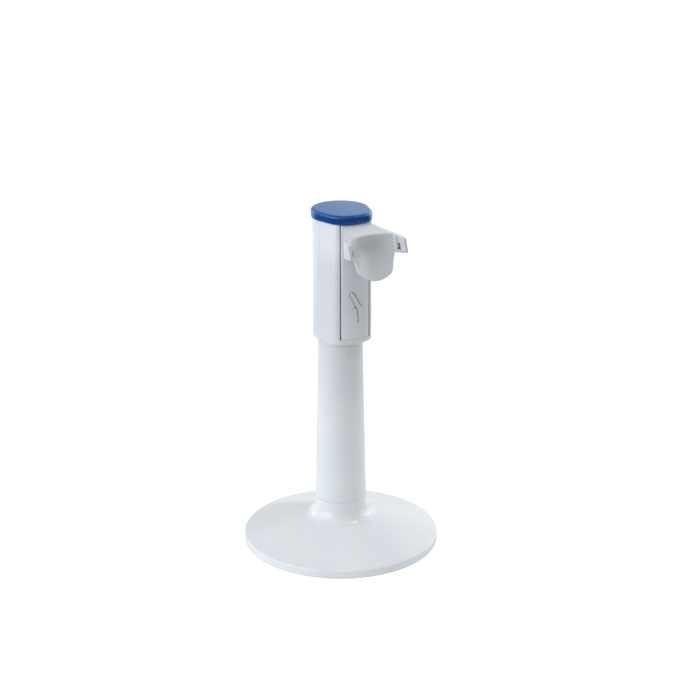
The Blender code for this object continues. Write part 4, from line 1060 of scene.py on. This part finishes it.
print("bib is %.1f mm high" % (PRONG_LOW - BIB_LOW))

# %% Slots
SLOT_START = 2.6
SLOT_WIDTH = 2.4
SLOT_MIDDLE = SLOT_START + SLOT_WIDTH / 2
SLOT_DEPTH = 3.1
SLOT_SHALLOW = 1.1
SLOT_FLOOR = 260.6
CONTACT_LOW = 260.9
CONTACT_HEIGHT = 3.6
CONTACT_WIDTH = 1.8
CONTACT_ROOM_TOP = CONTACT_LOW + CONTACT_HEIGHT + GAP


def prong_frame(side, height):
    """Where a prong's inner face begins, and its directions ahead and outward."""
    root = at(root_reach(height), side * CRADLE_HALF, height)
    ahead = at(math.cos(PRONG_ANGLE), side * math.sin(PRONG_ANGLE), 0)
    outward = at(-math.sin(PRONG_ANGLE), side * math.cos(PRONG_ANGLE), 0)
    return root, ahead, outward


def slot_block(name, side, width, inner, outer, low, high, finish=None):
    """A block that leans with the prong's tip; depths run outward from the prong's inner face."""
    sections = []
    for height in (low, high):
        root, ahead, outward = prong_frame(side, height)
        sections.append([root + ahead * (SLOT_MIDDLE + step * width) + outward * depth
                         for step, depth in ((-0.5, inner), (0.5, inner), (0.5, outer), (-0.5, outer))])
    return skin(name, sections, finish)


print("slot floor at %.1f mm" % SLOT_FLOOR)

# %% [markdown]
# ### Openings
# The arm is hollow from below. Two bosses inside take the screws that hold it to the panel, and a
# channel runs from the hollow to the back of each slot for its lead.

# %% Openings in the arm
ARM_UNDER = 206.0
POCKET_NEAR = 30.0
POCKET_FAR = 45.1
POCKET_TOP = 268.7
BOSS_RADIUS = 3.6
BOSS_END = 34.5
ARM_SCREW_NEAR = 20.0
ARM_SCREW_LONG = 9.0
CHANNEL_PAST = 0.6


def flare(u):
    """Half of the arm's width at a reach."""
    return ROOT_HALF + (u - ROOT_REACH) * (FLARE_HALF - ROOT_HALF) / (FLARE_REACH - ROOT_REACH)


def pocket_plan():
    """The hollow between the arm's flanks."""
    wall = ARM_WALL / math.cos(PRONG_ANGLE)
    near = flare(POCKET_NEAR) - wall
    far = flare(POCKET_FAR) - wall
    return [(POCKET_NEAR, near), (POCKET_FAR, far), (POCKET_FAR, -far), (POCKET_NEAR, -near)]


def contact_way(side):
    """The channel from the pocket through the flank to the back of a slot."""
    height = CONTACT_LOW + CONTACT_HEIGHT / 2
    root, ahead, outward = prong_frame(side, height)
    slot_back = root + ahead * SLOT_MIDDLE + outward * (SLOT_DEPTH + GAP)
    start = at(POCKET_FAR - ARM_WALL, side * (flare(POCKET_FAR) - 2 * ARM_WALL), height)
    end = slot_back + (slot_back - start).normalized() * CHANNEL_PAST * MM
    return bar("contact_way", start, end, LEAD_HOLE)


print("pocket is %.1f mm long" % (POCKET_FAR - POCKET_NEAR))

# %% Arm's plain bodies
SIDE_HALF = 60.0
SEAT_LOW = 170.0
SEAT_HIGH = 290.0
CRADLE_DEEP = 21.1
CRADLE_LEVELS = 14


def arm_body():
    """The flared body with its sloping roof and the cradle's open room."""
    body = prism("cradle_arm_fine", arm_plan(), ARM_UNDER, ARM_TOP + 2, arm_abs_greyed_for_painted_shade)
    combine(body, "INTERSECT", side_prism("side_view", arm_side(), SIDE_HALF))
    seat = [(0, SEAT_LOW), (ARM_SEAT, SEAT_LOW), (ARM_SEAT, SEAT_HIGH), (0, SEAT_HIGH)]
    cut(body, turned("seat", seat, None, FINE_STEPS), roof(-1), roof(1))
    heights = [ARM_TOP + 3, RIM]
    heights += [RIM - CRADLE_DEEP * step / CRADLE_LEVELS for step in range(1, CRADLE_LEVELS + 1)]
    return cut(body, skin("cradle_space", [cradle_section(z) for z in heights]))


def add_bib(body):
    """Joins the bib to the body and hollows it behind its face."""
    join(body, bib_slab("bib", lambda z: BIB_OVERLAP, bib_depth, 0))
    hollow = bib_slab("bib_hollow", lambda z: BIB_THICK, lambda z: bib_depth(z) + BIB_THICK, BIB_THICK)
    return cut(body, hollow)


def open_slots(body):
    """Cuts a shallow slot into each prong, and the deeper room of its contact."""
    for side, _ in SIDES:
        cut(body, slot_block("slot", side, SLOT_WIDTH, -SLOT_DEPTH, SLOT_SHALLOW, SLOT_FLOOR, ARM_TOP),
            slot_block("contact_room", side, CONTACT_WIDTH + GAP, -SLOT_DEPTH, SLOT_DEPTH,
                       SLOT_FLOOR, CONTACT_ROOM_TOP))
    return body


def open_pocket(body):
    """Hollows the arm from below, leaves two screw bosses and cuts the leads' channels."""
    cut(body, prism("pocket", pocket_plan(), ARM_UNDER, POCKET_TOP))
    for side, _ in SIDES:
        join(body, screw_way(side, ARM_SEAT + GAP, BOSS_END, BOSS_RADIUS))
        cut(body, screw_way(side, ARM_SCREW_NEAR, ARM_SCREW_SEAT + ARM_SCREW_LONG, ARM_SCREW_HOLE),
            contact_way(side))
    return cut(body, *lead_ways())


arm = open_pocket(open_slots(add_bib(arm_body())))
print("arm before its edges are softened:", len(arm.data.polygons), "faces")

# %% [markdown]
# ### Soft edges
# The remesh gives the moulding one even skin. The round along the cradle's rim is much broader than
# the others, so the points around the rim are smoothed many more times.

# %% Arm's soft edges
ARM_VOXEL = 0.28
RIM_LIFT = 0.4
RIM_SPREAD = 5.0
RIM_SOFTENING = 70
EDGE_SOFTENING = 10
KEPT_SHARE = 0.35


def rim_group(arm):
    """Marks the points near the cradle's rim, fully within half of its reach."""
    near_rim = arm.vertex_groups.new(name="rim")
    for vertex in arm.data.vertices:
        v = vertex.co.x / MM
        reach = RIM_REACH + (RIM_EDGE - RIM_REACH) * (v / CRADLE_HALF) ** 2
        away = math.hypot(-vertex.co.y / MM - reach, vertex.co.z / MM - RIM - RIM_LIFT)
        if abs(v) < CRADLE_HALF + RIM_SPREAD + 1 and away < RIM_SPREAD:
            near_rim.add([vertex.index], min(1.0, 2.0 - away / (RIM_SPREAD / 2)), "REPLACE")
    return near_rim


def soften(arm):
    """Gives the moulding an even skin, a broad soft rim and small soft edges, with fewer faces."""
    melt = arm.modifiers.new("even skin", "REMESH")
    melt.mode = "VOXEL"
    melt.voxel_size = ARM_VOXEL * MM
    settle(arm)
    near_rim = rim_group(arm)
    rim = arm.modifiers.new("soft rim", "SMOOTH")
    rim.vertex_group = near_rim.name
    rim.factor = 0.5
    rim.iterations = RIM_SOFTENING
    soft = arm.modifiers.new("soft edges", "SMOOTH")
    soft.factor = 0.5
    soft.iterations = EDGE_SOFTENING
    thin = arm.modifiers.new("fewer faces", "DECIMATE")
    thin.ratio = KEPT_SHARE
    settle(arm)
    arm.data.shade_smooth()
    # The remesh may drop the finish.
    if not arm.data.materials:
        arm.data.materials.append(arm_abs_greyed_for_painted_shade)
    return arm


soften(arm)
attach(arm, "charging_shell")
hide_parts("cradle_arm")
print("arm faces:", len(arm.data.polygons))

# %% [markdown]
# ## Contacts
# Each contact is a small rounded blade of nickel at the lower end of its slot, coloured darker than bare
# nickel as painted shade.

# %% Contacts
CONTACT_PROUD = 0.5
CONTACT_DEEP = 1.8
CONTACT_ROUND = 0.4
for side, word in SIDES:
    blade = slot_block("contact_%s_fine" % word, side, CONTACT_WIDTH, -CONTACT_PROUD, CONTACT_DEEP,
                       CONTACT_LOW, CONTACT_LOW + CONTACT_HEIGHT, nickel_with_painted_shade)
    round_edges(blade, CONTACT_ROUND, 4)
    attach(blade, "contact_" + word)
    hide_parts("contact_" + word)
print("contacts:", [word for _, word in SIDES])

# %% [markdown]
# ## Feet, screws and inlet
# The feet are moulded rubber discs with a rounded rim and a dimple below that grips the bench. The
# screws in the base plate have a pressed cross recess. The inlet at the back is a moulded nose with a
# centre pin, and its mouth is rounded to lead the plug in.

# %% Feet and base screws
CORNERS = (45, 135, 225, 315)
FOOT_CIRCLE = 64.0
FOOT_RADIUS = 7.0
FOOT_TOP = 1.8
FOOT_ROUND = 0.5
FOOT_RING = 1.6
DIMPLE = 0.4
SCREW_CIRCLE = 46.0
SCREW_HEAD = 3.6
SCREW_SHANK = 2.0
SCREW_LOW = 0.5
SCREW_SEAT = 1.0
SCREW_HIGH = 8.3
RECESS_HALF = 1.7
RECESS_WIDTH = 0.8
RECESS_TOP = 1.9


def bring_to(piece, radius, degrees):
    """Moves a piece that was made on the upright axis to its corner of the base."""
    angle = math.radians(degrees)
    x = radius * math.cos(angle) * MM
    y = radius * math.sin(angle) * MM
    piece.data.transform(Matrix.Translation((x, y, 0)))
    return smooth(piece)


def make_foot(name):
    """A disc with a rounded rim, a ring that it stands on and a dimple inside the ring."""
    profile = [(0, FOOT_TOP), (FOOT_RADIUS - 0.2, FOOT_TOP), (FOOT_RADIUS, FOOT_TOP - 0.2)]
    profile += arc((FOOT_RADIUS - FOOT_ROUND, FOOT_ROUND), FOOT_ROUND, 0, -math.pi / 2, 8)
    ring = FOOT_RADIUS - FOOT_RING
    profile += bend((ring, 0), (ring - DIMPLE, 0), (ring - 1.0, DIMPLE), 6) + [(0, DIMPLE)]
    return turned(name, profile, soft_rubber, FEW_STEPS)


def make_base_screw(name):
    """A pan-head screw with a cross recess."""
    half = RECESS_WIDTH / 2
    profile = [(0, SCREW_HIGH), (SCREW_SHANK - 0.5, SCREW_HIGH), (SCREW_SHANK, SCREW_HIGH - 0.8)]
    profile += [(SCREW_SHANK, SCREW_SEAT), (SCREW_HEAD, SCREW_SEAT)]
    profile += bend((SCREW_HEAD, SCREW_SEAT - 0.1), (SCREW_HEAD, SCREW_LOW), (SCREW_HEAD - 0.9, SCREW_LOW), 8)
    screw = turned(name, profile + [(0, SCREW_LOW)], zinc_steel, FEW_STEPS)
    return cut(screw, block("recess", -RECESS_HALF, RECESS_HALF, -half, half, 0.0, RECESS_TOP),
               block("recess", -half, half, -RECESS_HALF, RECESS_HALF, 0.0, RECESS_TOP))


for number, degrees in enumerate(CORNERS, 1):
    foot = bring_to(make_foot("foot_%d_fine" % number), FOOT_CIRCLE, degrees)
    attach(foot, "stand")
    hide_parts("foot_%d" % number)
    screw = bring_to(make_base_screw("base_screw_%d_fine" % number), SCREW_CIRCLE, degrees)
    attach(screw, "stand")
    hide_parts("base_screw_%d" % number)
print("feet and base screws:", 2 * len(CORNERS))

# %% Inlet
INLET_REAR = 21.7
INLET_NOSE = 4.4
INLET_BORE = 2.8
INLET_PIN = 1.0
INLET_BODY_REAR = 17.3
INLET_BODY_FRONT = 6.3
INLET_BODY_HALF = 4.5
INLET_ROUND = 0.3


def inlet_bar(near, far, radius):
    """A round bar on the inlet's axis."""
    return bar("inlet_bar", at(near, 0, INLET_HEIGHT), at(far, 0, INLET_HEIGHT), radius)


inlet = block("dc_socket_fine", -INLET_BODY_REAR, -INLET_BODY_FRONT, -INLET_BODY_HALF, INLET_BODY_HALF,
              INLET_HEIGHT - INLET_BODY_HALF, INLET_HEIGHT + INLET_BODY_HALF, black_nylon)
join(inlet, inlet_bar(-INLET_REAR, GAP - INLET_BODY_REAR, INLET_NOSE))
cut(inlet, inlet_bar(-2 * INLET_REAR, INLET_NOSE - INLET_BODY_REAR, INLET_BORE))
join(inlet, inlet_bar(2 * INLET_PIN - INLET_REAR, 2 * INLET_NOSE - INLET_BODY_REAR, INLET_PIN))
round_edges(inlet, INLET_ROUND, 3)
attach(inlet, "stand")
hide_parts("dc_socket")
print("inlet faces:", len(inlet.data.polygons))

# %% [markdown]
# ## Pieces that keep their own shape
# The plain pieces inside and below keep the shape they were drawn with, and only get their finish.

# %% Finishes for the kept pieces
KEPT = {
    "base_plate": grey_abs, "base_ballast": cast_iron, "clamp_bolt": zinc_steel, "clamp_nut": zinc_steel,
    "clamp_washer": zinc_steel, "cap_seat": white_abs, "cap_clip": zinc_steel, "circuit_board": laminate,
    "board_connector": black_nylon, "arm_cover": arm_abs_greyed_for_painted_shade, "shell_plug": black_nylon,
    "lead_left": lead_sleeve, "lead_right": lead_sleeve, "board_screw_1": zinc_steel,
    "board_screw_2": zinc_steel, "arm_screw_1": zinc_steel, "arm_screw_2": zinc_steel,
}
for name, finish in KEPT.items():
    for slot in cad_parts[name].material_slots:
        slot.material = finish
print("kept pieces:", len(KEPT))
